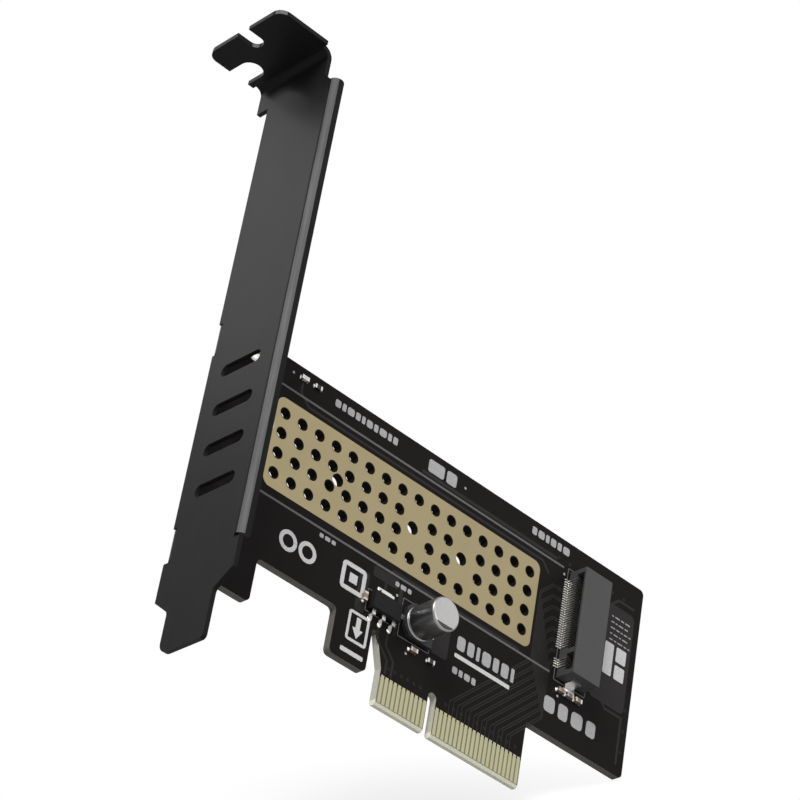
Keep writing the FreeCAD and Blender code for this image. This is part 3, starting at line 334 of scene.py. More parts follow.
def canShell():
    # Drawn aluminium whose top carries a printed dark segment for the negative side; the wall is painted
    # darker than the lid, as painted shade
    settings = {
        # The wall is the lid's aluminium painted darker: painted shade for the dim reflections on the can's
        # side
        "wall": ((0.21, 0.205, 0.21, 1), (0.32, 0.315, 0.32, 1)),
        "lid": ((0.38, 0.375, 0.37, 1), (0.48, 0.475, 0.47, 1)),
        "print": 0.02, "printEdge": 2.1,      # tone, and how far below the middle the segment starts
        "lines": 3200, "rough": 0.3, "lineRough": 0.12, "printRough": 0.15,
    }
    recipe = Recipe("capacitor shell", Metallic=1.0)
    up = recipe.axes()[2]
    low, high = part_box("capacitor_can")
    lines = recipe.noise(settings["lines"], 3, (1, 0.05, 1))
    top = recipe.facing()[1] < -0.9              # the lid, which looks away from the board
    printed = top * (up < (low.z + high.z) / 2 - settings["printEdge"] * mm)
    metal = recipe.blend(top, recipe.blend(lines, *settings["wall"]), recipe.blend(lines, *settings["lid"]))
    recipe.feed(
        BaseColor=recipe.blend(printed, metal, grey(settings["print"])),
        Metallic=1 - printed,
        Roughness=settings["rough"] + lines * settings["lineRough"] + printed * settings["printRough"])
    recipe.relief(lines, 0.004, 0.5)
    return recipe.material


def ceramicTan():
    # Fired ceramic, slightly cloudy
    settings = {"dark": (0.2, 0.13, 0.075, 1), "pale": (0.3, 0.21, 0.13, 1), "cloud": 2400}
    recipe = Recipe("fired ceramic", IOR=1.6, Roughness=0.35)
    slow = recipe.noise(settings["cloud"], 4)
    recipe.feed(BaseColor=recipe.ramp(slow, (0.3, settings["dark"]), (0.7, settings["pale"])))
    recipe.relief(slow, 0.01, 0.5)
    return recipe.material


def lampLens():
    # Clear resin over the lamp's pale body
    settings = {"dark": (0.66, 0.68, 0.62, 1), "pale": (0.78, 0.79, 0.74, 1), "cloud": 3000}
    recipe = Recipe("lamp resin", IOR=1.5, Roughness=0.22, CoatWeight=0.4)
    slow = recipe.noise(settings["cloud"], 2)
    recipe.feed(BaseColor=recipe.ramp(slow, (0.3, settings["dark"]), (0.7, settings["pale"])))
    return recipe.material


def legendInk(name, level):
    # Printed legend: slightly chalky, thinner in places
    settings = {"wear": 4000, "spread": 0.1, "rough": 0.6, "wearRough": 0.15}
    recipe = Recipe(name, IOR=1.4, SpecularIORLevel=0.2)
    worn = recipe.noise(settings["wear"], 4)
    thin, full = [grey(level * (1 + sign * settings["spread"])) for sign in (-1, 1)]
    recipe.feed(
        BaseColor=recipe.ramp(worn, (0.35, thin), (0.65, full)),
        Roughness=settings["rough"] + worn * settings["wearRough"])
    recipe.relief(worn, 0.004, 0.5)
    return recipe.material


def maskedCopper():
    # The mask where copper runs under it: a touch lighter and smoother than on bare laminate
    settings = {
        "dark": (0.0135, 0.011, 0.011, 1), "pale": (0.019, 0.016, 0.016, 1),
        "cloud": 500, "rough": 0.3, "cloudRough": 0.08,
    }
    recipe = Recipe("mask over copper", IOR=1.45, SpecularIORLevel=0.12)
    cloudy = recipe.noise(settings["cloud"])
    recipe.feed(
        BaseColor=recipe.blend(cloudy, settings["dark"], settings["pale"]),
        Roughness=settings["rough"] + cloudy * settings["cloudRough"])
    recipe.relief(recipe.noise(1500, 2), 0.008, 0.4)
    return recipe.material


mask = solderMask()
gold = goldPlate("cooling gold", (0.34, 0.285, 0.165, 1))
fingerGold = goldPlate("finger gold", (0.44, 0.42, 0.265, 1), 0.3)
contactGold = goldPlate("contact gold", (0.66, 0.645, 0.605, 1), 0.3)
bracketBlack = blackBracket()
socketBlack = moulded("socket moulding", 0.05, 0.5)
baseBlack = moulded("capacitor base moulding", 0.02, 0.45)
packageBlack = moulded("regulator moulding", 0.011, 0.6, 0.1, 0.01)
resistorBlack = moulded("resistor glaze", 0.018, 0.25)
nickel = brightMetal("bright nickel", (0.66, 0.66, 0.63, 1), 0.2)
tin = brightMetal("tin plate", (0.68, 0.68, 0.66, 1), 0.3)
brass = brightMetal("turned brass", (0.72, 0.54, 0.26, 1), 0.24, (1, 6, 1))
canMetal = canShell()
ceramic = ceramicTan()
lamp = lampLens()
brightInk = legendInk("bright ink", 0.55)
softInk = legendInk("soft ink", 0.36)
faintInk = legendInk("faint ink", 0.115)
maskCopper = maskedCopper()

finishes = {
    "circuit_board": mask, "cooling_pad": gold,
    "edge_contacts_front": fingerGold, "edge_contacts_back": fingerGold,
    "bracket": bracketBlack, "bracket_screws": nickel, "drive_screw": nickel,
    "standoff": brass, "standoff_nut": brass,
    "socket_housing": socketBlack, "socket_upper_contacts": contactGold,
    "socket_lower_contacts": contactGold, "socket_hold_downs": tin,
    "capacitor_can": canMetal, "capacitor_base": baseBlack, "capacitor_leads": tin,
    "regulator_package": packageBlack, "regulator_leads": tin,
    "ceramic_capacitors": ceramic, "chip_resistors": resistorBlack,
    "status_lamp": lamp, "chip_ends": tin,
}
for node, finish in finishes.items():
    for place in frame["nodes"][node].material_slots:
        place.material = finish
print("finishes applied")


# Solid measures in millimetres, read from the frame
halfBoard = boxOf("circuit_board")[1].y
padLow, padHigh = boxOf("cooling_pad")
padMiddle = (padLow + padHigh) / 2
driveHoles = np.array([[mount["pos_m"][0] / mm, mount["pos_m"][2] / mm]
                       for mount in frame["record"]["mounts"] if mount["name"].startswith("drive_hole")])
sunk = -0.004                 # tracks, printing and solder start this far inside the board


def offBoard(x, height, z, side=-1):
    # Places from x, the height off a face of the board (the component side is -1) and z
    return np.stack(np.broadcast_arrays(x, side * (halfBoard + height), z), axis=-1)


def gridFaces(rows, columns, wrapRows):
    # Quads between neighbouring rows and columns. The last column joins the first, and so may the last row
    row = np.arange(rows if wrapRows else rows - 1)[:, None]
    column = np.arange(columns)[None, :]
    below = (row + 1) % rows
    beside = (column + 1) % columns
    corners = np.broadcast_arrays(
        row * columns + column, row * columns + beside,
        below * columns + beside, below * columns + column)
    return np.stack(corners, axis=-1).reshape(-1, 4)


def mend(mesh, factors=(1, 1, 1)):
    # Corners that meet become one, and every face is turned outwards
    work = bmesh.new()
    work.from_mesh(mesh)
    bmesh.ops.remove_doubles(work, verts=work.verts, dist=mergeReach)
    bmesh.ops.scale(work, vec=factors, verts=work.verts)
    bmesh.ops.recalc_face_normals(work, faces=work.faces)
    work.to_mesh(mesh)
    work.free()


def makePiece(name, mesh, creaseAngle=30, standsFor=()):
    # A finished mesh becomes a piece of the card, with its creases sharp
    mesh.set_sharp_from_angle(angle=math.radians(creaseAngle))
    made = addToScene(name, mesh)
    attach(made, "root")
    if standsFor:
        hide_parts(*standsFor)
    print("made", name, len(mesh.polygons))


class Surface:
    # Gathers the grids of one piece, in millimetres, and makes one mesh of them

    def __init__(self):
        self.points = []
        self.quads = []
        self.caps = []
        self.total = 0

    def grid(self, points, wrapRows=False, capped=False):
        # Rows of places round a section; a cap closes the first row and the last
        rows, columns = points.shape[:2]
        self.quads.append(gridFaces(rows, columns, wrapRows) + self.total)
        if capped:
            for first in (0, (rows - 1) * columns):
                self.caps.append((np.arange(columns) + first + self.total).tolist())
        self.points.append(points.reshape(-1, 3))
        self.total += rows * columns

    def piece(self, name, finish, creaseAngle=30, standsFor=()):
        mesh = bpy.data.meshes.new(name)
        places = np.vstack(self.points) * mm
        mesh.from_pydata(places.tolist(), [], np.vstack(self.quads).tolist() + self.caps)
        mend(mesh)
        mesh.shade_smooth()
        mesh.materials.append(finish)
        makePiece(name, mesh, creaseAngle, standsFor)


def fullTurn(steps):
    # Equal angles once round
    return np.linspace(0, 2 * math.pi, steps, endpoint=False)


def roundedOutline(low, high, radius, steps=5):
    # Each corner's centre plus the radius at angles that run through a quarter turn
    low = np.array(low, float)
    high = np.array(high, float)
    turn = np.linspace(0, math.pi / 2, steps)[None, :] + np.arange(4)[:, None] * math.pi / 2
    turn = turn.ravel()
    signs = np.repeat([[1, 1], [-1, 1], [-1, -1], [1, -1]], steps, axis=0)
    around = np.stack([np.cos(turn), np.sin(turn)], axis=-1)
    return (low + high) / 2 + signs * ((high - low) / 2 - radius) + radius * around


def slab(surface, outline, lower, upper):
    # A flat outline of x and z, carried from one height off the board's face to another
    outline = np.asarray(outline, float)
    surface.grid(offBoard(outline[:, 0], np.array([[lower], [upper]]), outline[:, 1]), capped=True)


def bar(surface, low, high, radius, lower, upper):
    # A rectangle with rounded corners, carried up in the same way
    slab(surface, roundedOutline(low, high, radius), lower, upper)


def sweep(surface, sides, lower, upper, side=-1, **closing):
    # Four corners at each step of a path: two at the lower height, then two at the upper
    height = np.array([lower, lower, upper, upper])
    surface.grid(offBoard(sides[..., 0], height, sides[..., 1], side), **closing)


def ring(surface, centre, inner, outer, lower, upper, side=-1, steps=24):
    # A section from the inner radius to the outer, carried round: x, z = centre + radius (cos, sin)
    turn = fullTurn(steps)[:, None, None]
    radius = np.array([inner, outer, outer, inner])[None, :, None]
    around = np.concatenate([np.cos(turn), np.sin(turn)], axis=-1)
    sweep(surface, np.array(centre) + radius * around, lower, upper, side, wrapRows=True)


def frameLine(surface, low, high, radius, width, lower, upper):
    # A rounded outline and the same outline drawn in by the line's width
    leastRadius = 0.02
    outer = roundedOutline(low, high, radius)
    inner = roundedOutline(np.array(low) + width, np.array(high) - width, max(radius - width, leastRadius))
    sweep(surface, np.stack([inner, outer, outer, inner], axis=1), lower, upper, wrapRows=True)


def ribbon(surface, path, width, lower, upper):
    # Each point moves out along the mean of its two runs' normals, so far that the sides stay parallel
    path = np.array(path, float)
    run = np.diff(path, axis=0)
    run /= np.linalg.norm(run, axis=1, keepdims=True)
    normal = np.stack([-run[:, 1], run[:, 0]], axis=-1)
    mean = np.vstack([normal[:1], normal]) + np.vstack([normal, normal[-1:]])
    mean *= width / (mean * mean).sum(axis=1, keepdims=True)
    sides = np.stack([path - mean, path + mean, path + mean, path - mean], axis=1)
    sweep(surface, sides, lower, upper, capped=True)


def mound(surface, centre, size, rows=4):
    # From the foot's middle to the rim, then up: the radius falls as a cosine, the height rises as a sine
    reachX, reachZ, height, steps = size
    rise = np.linspace(0, math.pi / 2, rows)
    radius = np.concatenate([[0.0], np.cos(rise)])[:, None]
    level = np.concatenate([[0.0], np.sin(rise)])[:, None] * height + sunk
    turn = fullTurn(steps)[None, :]
    surface.grid(offBoard(
        centre[0] + reachX * radius * np.cos(turn), level, centre[1] + reachZ * radius * np.sin(turn)))


# Perforations: where they stand on the pad, and a round edge for each

perforations = {
    "spacing": 4.0, "columns": 16, "rows": 4, "firstColumn": 2.0,
    "clear": 2.45,                    # nothing nearer than this to a drive hole
    "copper": 0.05,                   # height of the pad off the board
    # round radius, lap past the six corners, lower and upper height off the pad or the board
    "opening": (1.15, 0.08, -0.015, 0.004),
    "bore": (0.94, 0.06, -0.02, 0.005),
    "steps": 20,                      # round each edge
}


def perforationPlaces(settings):
    # Columns and rows at equal steps, less those beside a drive hole
    rows = settings["rows"]
    along = padLow.x + settings["firstColumn"] + settings["spacing"] * np.arange(settings["columns"])
    up = padMiddle.z + settings["spacing"] * (np.arange(rows) - (rows - 1) / 2)
    places = np.stack(np.meshgrid(along, up, indexing="ij"), axis=-1).reshape(-1, 2)
    gaps = np.linalg.norm(places[:, None, :] - driveHoles[None, :, :], axis=-1).min(axis=1)
    return places[gaps > settings["clear"]]


def makePerforationEdges(settings):
    # A thin ring from the round edge out past the corners of the solid's six-sided hole, on both faces
    hexCorner = 1 / math.cos(math.pi / 6)
    for name, finish, slot, size, base in (
            ("pad_opening_edges", gold, "gold_plate", settings["opening"], settings["copper"]),
            ("bore_edges", mask, "solder_mask", settings["bore"], 0.0)):
        radius, lap, lower, upper = size
        outer = radius * hexCorner + lap
        edges = Surface()
        for place in perforationPlaces(settings):
            for side in (-1, 1):
                ring(edges, place, radius, outer, base + lower, base + upper, side, settings["steps"])
        edges.piece(name, finish)


makePerforationEdges(perforations)


def mirrorPad():
    # The same copper on the solder side: y changes sign
    mesh = frame["nodes"]["cooling_pad"].data.copy()
    mesh.name = "rear_cooling_pad"
    mend(mesh, (1, -1, 1))
    makePiece("rear_cooling_pad", mesh)


mirrorPad()


# Plated rings round the through holes, and the bare copper on the solder side

holeRings = {
    # inner and outer radius
    "screw": (1.68, 2.6), "drive": (1.27, 1.95), "standoff": (1.27, 2.75),
    "heights": (-0.01, 0.03),         # off the board
    "steps": 40, "driveSteps": 32,
}


def makeHoleRings(settings):
    # Flat rings about the holes' own middles
    rings = Surface()
    heights = settings["heights"]
    steps = settings["steps"]
    screwLow, screwHigh = boxOf("bracket_screws")
    postLow, postHigh = boxOf("standoff")
    reach = (screwHigh.x - screwLow.x) / 2
    screwX = (screwLow.x + screwHigh.x) / 2
    for side in (-1, 1):
        for rise in (screwLow.z + reach, screwHigh.z - reach):
            ring(rings, (screwX, rise), *settings["screw"], *heights, side, steps)
    for place in driveHoles:
        ring(rings, place, *settings["drive"], *heights, 1, settings["driveSteps"])
    ring(rings, ((postLow.x + postHigh.x) / 2, padMiddle.z), *settings["standoff"], *heights, 1, steps)
    rings.piece("hole_rings", gold)


makeHoleRings(holeRings)


# Copper under the mask: pairs from the edge contacts to the socket, supply areas and vias

traces = {
    "height": 0.012, "width": 0.22, "gap": 0.42,
    "pairs": 8, "pairStep": 2, "firstContact": 4.5, "contactTop": 5.9,
    "straight": 8.6, "stagger": 0.4,              # height of a pair's first bend, and its two members' step
    "channel": 21.15, "channelStep": 0.62,        # where the first pair runs up, and the next ones' steps
    "squeeze": 0.7,                               # a pair's gap in the channel, as a share
    "firstTurn": 27.4, "turnStep": 2.1,           # heights at which the pairs turn to the socket
    "slant": 0.5, "end": 26.75,
    "areaHeight": 0.0108, "runWidth": 0.5,
}
supplyAreas = (
    # low corner, high corner, radius
    ((-20.2, 14.6), (-17.9, 22.4), 0.5), ((-11.0, 13.9), (-10.2, 23.6), 0.3),
    ((-2.0, 15.2), (1.8, 23.9), 0.6), ((-17.4, 22.6), (-11.4, 24.6), 0.5),
    ((36.0, 25.4), (45.2, 46.0), 1.2), ((-10.6, 47.4), (24.0, 48.1), 0.3),
)
supplyRuns = (
    ((-12.0, 14.2), (-12.0, 11.4), (-9.8, 9.2), (-9.8, 6.2)),
    ((-14.2, 14.2), (-14.2, 11.8), (-11.2, 8.8), (-11.2, 6.2)),
    ((-39.8, 49.6), (-39.8, 47.6), (-37.6, 45.6), (15.4, 45.6), (20.6, 45.6), (22.4, 43.8)),
    ((-14.2, 21.0), (-14.2, 24.0), (-13.0, 25.6), (18.0, 25.6)),
    ((35.6, 44.6), (37.8, 44.6), (40.6, 47.4), (44.8, 47.4)),
    ((35.6, 27.0), (38.0, 27.0), (40.4, 24.6), (44.8, 24.6), (44.8, 15.2)),
)


def makeTraces(settings):
    # A track goes up from its contact, over to its channel at 45 degrees, up again and over to the socket
    copper = Surface()
    for pair in range(settings["pairs"]):
        for member in (-0.5, 0.5):
            shift = member * settings["gap"]
            start = settings["firstContact"] + settings["pairStep"] * pair + member
            channel = settings["channel"] + settings["channelStep"] * pair + shift * settings["squeeze"]
            turn = settings["firstTurn"] + settings["turnStep"] * (settings["pairs"] - 1 - pair) - shift
            bend = settings["straight"] + settings["stagger"] * member
            slant = (settings["end"] - channel) * settings["slant"]
            ribbon(copper, [
                (start, settings["contactTop"]), (start, bend), (channel, bend + channel - start),
                (channel, turn - slant), (channel + slant, turn),
                (settings["end"], turn)], settings["width"], sunk, settings["height"])
    for low, high, radius in supplyAreas:
        bar(copper, low, high, radius, sunk, settings["areaHeight"])
    for path in supplyRuns:
        ribbon(copper, path, settings["runWidth"], sunk, settings["height"])
    copper.piece("masked_copper", maskCopper)


vias = {
    "bore": 0.13, "land": 0.32, "height": 0.016, "steps": 12,
    "rows": (
        # first x and z, step in x and z, count
        (-10.5, 7.6, 1.5, 0.0, 6), (3.2, 7.3, 1.9, 0.0, 10), (-19.6, 15.4, 0.0, 1.5, 5),
        (-18.5, 15.4, 0.0, 1.5, 5), (-1.3, 16.0, 0.0, 1.5, 5), (0.9, 16.0, 0.0, 1.5, 5),
        (37.2, 26.6, 0.0, 2.6, 2), (44.0, 45.0, 0.0, 0.0, 1), (-9.8, 47.75, 4.1, 0.0, 9),
        (24.4, 48.2, 2.9, 0.0, 7), (45.6, 18.0, 0.0, 4.3, 3),
    ),
}


def makeVias(settings):
    # Small rings in rows, each row's places at equal steps
    rings = Surface()
    height = settings["height"]
    for x, z, stepX, stepZ, count in settings["rows"]:
        for place in np.array([x, z]) + np.arange(count)[:, None] * np.array([stepX, stepZ]):
            ring(rings, place, settings["bore"], settings["land"], sunk, height, steps=settings["steps"])
    rings.piece("tented_vias", maskCopper)


makeTraces(traces)
makeVias(vias)


# Printed legend: lines, dashes and plain signs in white ink, heavy, soft or faint

legend = {
    "top": 0.022,                                 # height of the ink
    "fine": 0.18, "corner": 0.3,                  # line and corner of a part's outline
    "line": 0.42, "lineFrom": -44.2, "lineTo": 25.9,
    "driveHalf": 10.9, "lineShift": 0.27,         # half a drive's width, and both lines' shift up
    "dot": (0.02, 0.25), "dotSteps": 16,          # a pin-one dot's radii
    "markSteps": 36,
    "dashRadius": 0.28,                           # share of a dash's lesser side
    # node and the room round it
    "outlined": (("capacitor_base", 0.5), ("regulator_package", 0.45), ("socket_housing", 0.7)),
}
dashRows = (
    # first x, lower z, height, gap, widths
    (-32.2, 49.15, 1.5, 0.36, (1.3, 0.9, 1.6, 1.1, 0.8, 1.4, 1.0, 1.7, 0.9, 1.1)),
    (17.0, 49.5, 1.6, 0.38, (1.2, 1.6, 0.9, 1.4, 1.1, 1.7)),
    (3.6, 18.6, 2.7, 0.62, (1.9, 1.6, 0.8, 2.1, 1.4, 1.8, 0.8)),
    (3.4, 13.8, 1.3, 0.4, (1.2, 0.9, 1.4, 1.0)),
    (25.6, 17.3, 3.1, 0.95, (2.7, 2.4, 2.9, 2.4)),
    (-12.2, 23.2, 0.9, 0.35, (0.9, 1.3, 0.9)),
    (-30.2, 23.5, 0.8, 0.35, (0.9, 1.2, 0.9)),
    (39.4, 38.7, 0.24, 0.35, (0.9, 0.6, 1.3, 0.7, 0.5)),
    (39.4, 39.9, 0.24, 0.35, (0.6, 1.1, 0.5, 1.4)),
    (39.4, 41.1, 0.24, 0.35, (1.2, 0.8, 0.5, 0.9, 0.6)),
    (39.4, 42.3, 0.24, 0.35, (0.8, 0.5, 1.2, 0.9)),
    (39.4, 43.5, 0.24, 0.35, (0.5, 1.2, 0.8, 1.3)),
)
solidBlocks = (
    # low corner, high corner, radius
    ((3.4, 16.95), (17.0, 17.75), 0.2), ((38.6, 31.4), (40.9, 38.0), 0.3),
    ((41.6, 31.4), (44.2, 34.3), 0.3), ((41.6, 35.0), (44.2, 38.0), 0.3),
    ((-21.6, 5.9), (-16.4, 6.75), 0.2),
)
softBlocks = (
    ((-9.4, 48.4), (-5.5, 51.0), 0.5), ((-4.9, 48.4), (-2.4, 51.0), 0.5),
)
roundMarks = (
    # centre, inner radius, outer radius
    ((-36.4, 19.3), 1.2, 2.0), ((-32.0, 19.3), 1.2, 2.0),
)
squareFrames = (
    # low corner, high corner, radius, width of line
    ((-24.2, 17.0), (-18.6, 22.4), 0.9, 0.85), ((-21.0, 8.4), (-16.2, 14.2), 0.6, 0.55),
)
plainShapes = (
    # an arrow towards the card slot, and a square
    ((-19.8, 11.2), (-18.6, 9.3), (-17.4, 11.2), (-18.1, 11.2), (-18.1, 13.3), (-19.1, 13.3), (-19.1, 11.2)),
    ((-22.3, 18.8), (-20.5, 18.8), (-20.5, 20.6), (-22.3, 20.6)),
)
pinOneDots = ((-42.2, 50.3), (26.2, 45.6), (-11.4, 21.6), (28.6, 21.4), (-7.4, 12.1), (-0.2, 49.7))


def makeSigns(settings, top):
    # Blocks, rings, frames and flat outlines, all of one height
    heavy = Surface()
    for low, high, radius in solidBlocks:
        bar(heavy, low, high, radius, sunk, top)
    for centre, inner, outer in roundMarks:
        ring(heavy, centre, inner, outer, sunk, top, steps=settings["markSteps"])
    for low, high, radius, width in squareFrames:
        frameLine(heavy, low, high, radius, width, sunk, top)
    for outline in plainShapes:
        slab(heavy, outline, sunk, top)
    heavy.piece("legend_signs", brightInk)


def makeDashes(settings, top):
    # A row's dashes follow each other, each starting one gap past the widths before it
    soft = Surface()
    for first, low, height, gap, widths in dashRows:
        starts = first + np.concatenate([[0], np.cumsum(np.array(widths[:-1]) + gap)])
        for start, width in zip(starts, widths):
            radius = min(width, height) * settings["dashRadius"]
            bar(soft, (start, low), (start + width, low + height), radius, sunk, top)
    for low, high, radius in softBlocks:
        bar(soft, low, high, radius, sunk, top)
    for place in pinOneDots:
        ring(soft, place, *settings["dot"], sunk, top, steps=settings["dotSteps"])
    soft.piece("legend_dashes", softInk)


def makeOutlines(settings, top):
    # Two lines at the drive's edges, and a frame round each larger part
    faint = Surface()
    for side in (1, -1):
        rise = padMiddle.z + side * settings["driveHalf"] + settings["lineShift"]
        path = [(settings["lineFrom"], rise), (settings["lineTo"], rise)]
        ribbon(faint, path, settings["line"], sunk, top)
    for node, room in settings["outlined"]:
        low, high = boxOf(node)
        frameLine(faint, (low.x - room, low.z - room), (high.x + room, high.z + room),
                  settings["corner"], settings["fine"], sunk, top)
    faint.piece("part_outlines", faintInk)


makeSigns(legend, legend["top"])
makeDashes(legend, legend["top"])
makeOutlines(legend, legend["top"])


# Solder at pins, leads and chip ends

solder = {
    # half width in x, half width in z, height, steps round
    "pin": (0.3, 0.12, 0.16, 8),
    "capacitorLead": (0.55, 0.75, 0.26, 16),
    "regulatorLead": (0.5, 0.5, 0.2, 14),
    "holdDown": (1.5, 0.6, 0.35, 18),
    "uprightEnd": (0.42, 0.3, 0.26, 12), "levelEnd": (0.3, 0.42, 0.26, 12),
    "leadStep": 2.3, "leadShift": 0.05,           # the regulator's three leads
    "tabHalf": 1.7, "tabFoot": -0.9, "tabTop": 0.12, "tabRadius": 0.25, "tabHeight": 0.05,
    "chipHalf": 0.8,
}
socketPins = {
    "step": 0.25, "middle": 38,                   # pins count up from the top, a quarter of a millimetre each
    "front": ((2, 58), (68, 74)), "back": ((1, 57), (67, 75)),
}
chips = {
    "row": 3, "rowStep": 2.2, "rowX": 1.2, "rowZ": -2.2,      # from the socket's lower left corner
    "lampGap": 3.2,                                           # from the lamp to its resistor
    # middle, and whether the chip stands upright
    "others": (((-18.6, 17.6), True), ((-6.2, 13.2), False), ((-1.8, 13.2), False)),
}


def chipPlaces(settings):
    # A row below the socket, the lamp with its resistor, and three by the regulator and the capacitor
    socketLow = boxOf("socket_housing")[0]
    lampLow, lampHigh = boxOf("status_lamp")
    lampX = (lampLow.x + lampHigh.x) / 2
    lampZ = (lampLow.z + lampHigh.z) / 2
    rowX = socketLow.x + settings["rowX"]
    rowZ = socketLow.z + settings["rowZ"]
    level = [(rowX + settings["rowStep"] * step, rowZ) for step in range(settings["row"])]
    level += [(lampX, lampZ), (lampX + settings["lampGap"], lampZ)]
    return [(middle, False) for middle in level] + list(settings["others"])


def solderPins(joints, size, pins):
    # One mound for every second number of each run, down both sides of the socket
    frontX = boxOf("socket_lower_contacts")[0].x
    backX = boxOf("socket_upper_contacts")[1].x
    for x, runs in ((frontX, pins["front"]), (backX, pins["back"])):
        for first, last in runs:
            for number in range(first, last + 1, 2):
                mound(joints, (x, padMiddle.z - (number - pins["middle"]) * pins["step"]), size, rows=3)


def makeSolder(settings):
    # Mounds where the leads and chip ends meet the board, and a flat bar under the regulator's tab
    joints = Surface()
    solderPins(joints, settings["pin"], socketPins)
    low, high = boxOf("capacitor_leads")
    for x in (low.x, high.x):
        mound(joints, (x, (low.z + high.z) / 2), settings["capacitorLead"])
    low, high = boxOf("regulator_leads")
    middle = (low.x + high.x) / 2
    for step in (-1, 0, 1):
        mound(joints, (middle + step * settings["leadStep"], low.z + settings["leadShift"]),
              settings["regulatorLead"])
    bar(joints, (middle - settings["tabHalf"], high.z + settings["tabFoot"]),
        (middle + settings["tabHalf"], high.z + settings["tabTop"]),
        settings["tabRadius"], sunk, settings["tabHeight"])
    low, high = boxOf("socket_hold_downs")
    for rise in (low.z, high.z):
        mound(joints, ((low.x + high.x) / 2, rise), settings["holdDown"])
    for (x, z), upright in chipPlaces(chips):
        for shift in (-settings["chipHalf"], settings["chipHalf"]):
            if upright:
                mound(joints, (x, z + shift), settings["uprightEnd"])
            else:
                mound(joints, (x + shift, z), settings["levelEnd"])
    joints.piece("solder_joints", tin, creaseAngle=60)


makeSolder(solder)


# Screws: a threaded shank and a domed head with a cross recess, turned about the screw's own axis

bracketScrew = {
    "head": 2.7, "headHeight": 1.9, "shank": 1.47, "length": 3.23, "lead": 0.5, "depth": 0.16,
    "span": 2.8, "arm": 0.62, "recess": 1.15, "dome": 0.42,
}
clampScrew = {
    "head": 2.4, "headHeight": 0.9, "shank": 0.97, "length": 2.4, "lead": 0.4, "depth": 0.12,
    "span": 2.0, "arm": 0.46, "recess": 0.5, "dome": 0.3,
}
screwForm = {
    "around": 96, "perLead": 8, "headRows": 34, "crownRows": 26,
    "tip": 0.4, "tipTaper": 0.25,                 # height and depth of the tip's chamfer
    "sideBow": 0.5, "domeBow": 1.2,               # powers of the head's cosine and sine
    "wall": 0.08, "endSlope": 1.6,                # the recess's side walls, and the slope of its arms' ends
}


def screwGrid(settings, form, centre, seat):
    # Rows run from the tip's centre up the shank, under the head, up its side and over its dome.
    # Thread: the radius falls and rises once for each lead of height, a full turn later each time.
    # Recess: the depth fades in from each arm's side, and is deepest in the middle
    turn = fullTurn(form["around"])[None, :]
    length, lead, head = settings["length"], settings["lead"], settings["head"]
    up = np.arange(0, length + 0.001, lead / form["perLead"])[:, None]
    wave = 0.5 + 0.5 * np.cos(2 * math.pi * up / lead - turn)
    ends = np.clip(np.minimum(up, length - up) / lead, 0, 1)
    taper = np.clip(1 - up / form["tip"], 0, 1) * form["tipTaper"]
    shank = settings["shank"] - settings["depth"] * wave * ends - taper
    lean = np.linspace(0, math.pi / 2, form["headRows"])[:-1, None]
    rim = head * np.cos(lean) ** form["sideBow"]
    side = settings["headHeight"] * (1 - settings["dome"])
    rise = side + settings["headHeight"] * settings["dome"] * np.sin(lean) ** form["domeBow"]
    crown = np.linspace(rim[-1, 0], 0, form["crownRows"])[1:, None]
    radius = np.vstack([0 * turn, shank] + [part + 0 * turn for part in (head, rim, crown)])
    height = np.vstack([part + 0 * turn for part in (
        -length, up - length, 0.0, rise, settings["headHeight"] + 0 * crown)])
    x = radius * np.cos(turn)
    z = radius * np.sin(turn)
    nearArm = np.minimum(abs(x), abs(z))
    alongArm = np.maximum(abs(x), abs(z))
    reach = settings["span"] / 2
    fadeAcross = np.clip((settings["arm"] / 2 - nearArm) / form["wall"] + 0.5, 0, 1)
    fadeAlong = np.clip((reach - alongArm) / reach * form["endSlope"], 0, 1)
    height = height - (height > side) * fadeAcross * fadeAlong * settings["recess"]
    return np.stack([centre[0] + x, seat - height, centre[1] + z], axis=-1)


def makeScrews():
    low, high = boxOf("bracket_screws")
    x = (low.x + high.x) / 2
    reach = (high.x - low.x) / 2
    pair = Surface()
    for rise in (low.z + reach, high.z - reach):
        pair.grid(screwGrid(bracketScrew, screwForm, (x, rise), -halfBoard))
    pair.piece("cross_screws", nickel, 28, ("bracket_screws",))
    low, high = boxOf("drive_screw")
    centre = ((low.x + high.x) / 2, (low.z + high.z) / 2)
    single = Surface()
    single.grid(screwGrid(clampScrew, screwForm, centre, low.y + clampScrew["headHeight"]))
    single.piece("clamp_screw", nickel, 28, ("drive_screw",))


makeScrews()


# Capacitor shell: turned from one profile

shell = {
    "edge": 0.55, "grooveDepth": 0.35, "grooveAt": 0.36, "grooveWidth": 0.17,
    "fineTo": 1.1, "fineRows": 23,                # closer rows over the groove
    "wallFrom": 1.2, "wallRows": 8, "bendRows": 10, "lidRows": 9,
    "dish": 0.05, "dishPower": 6, "steps": 96,
}


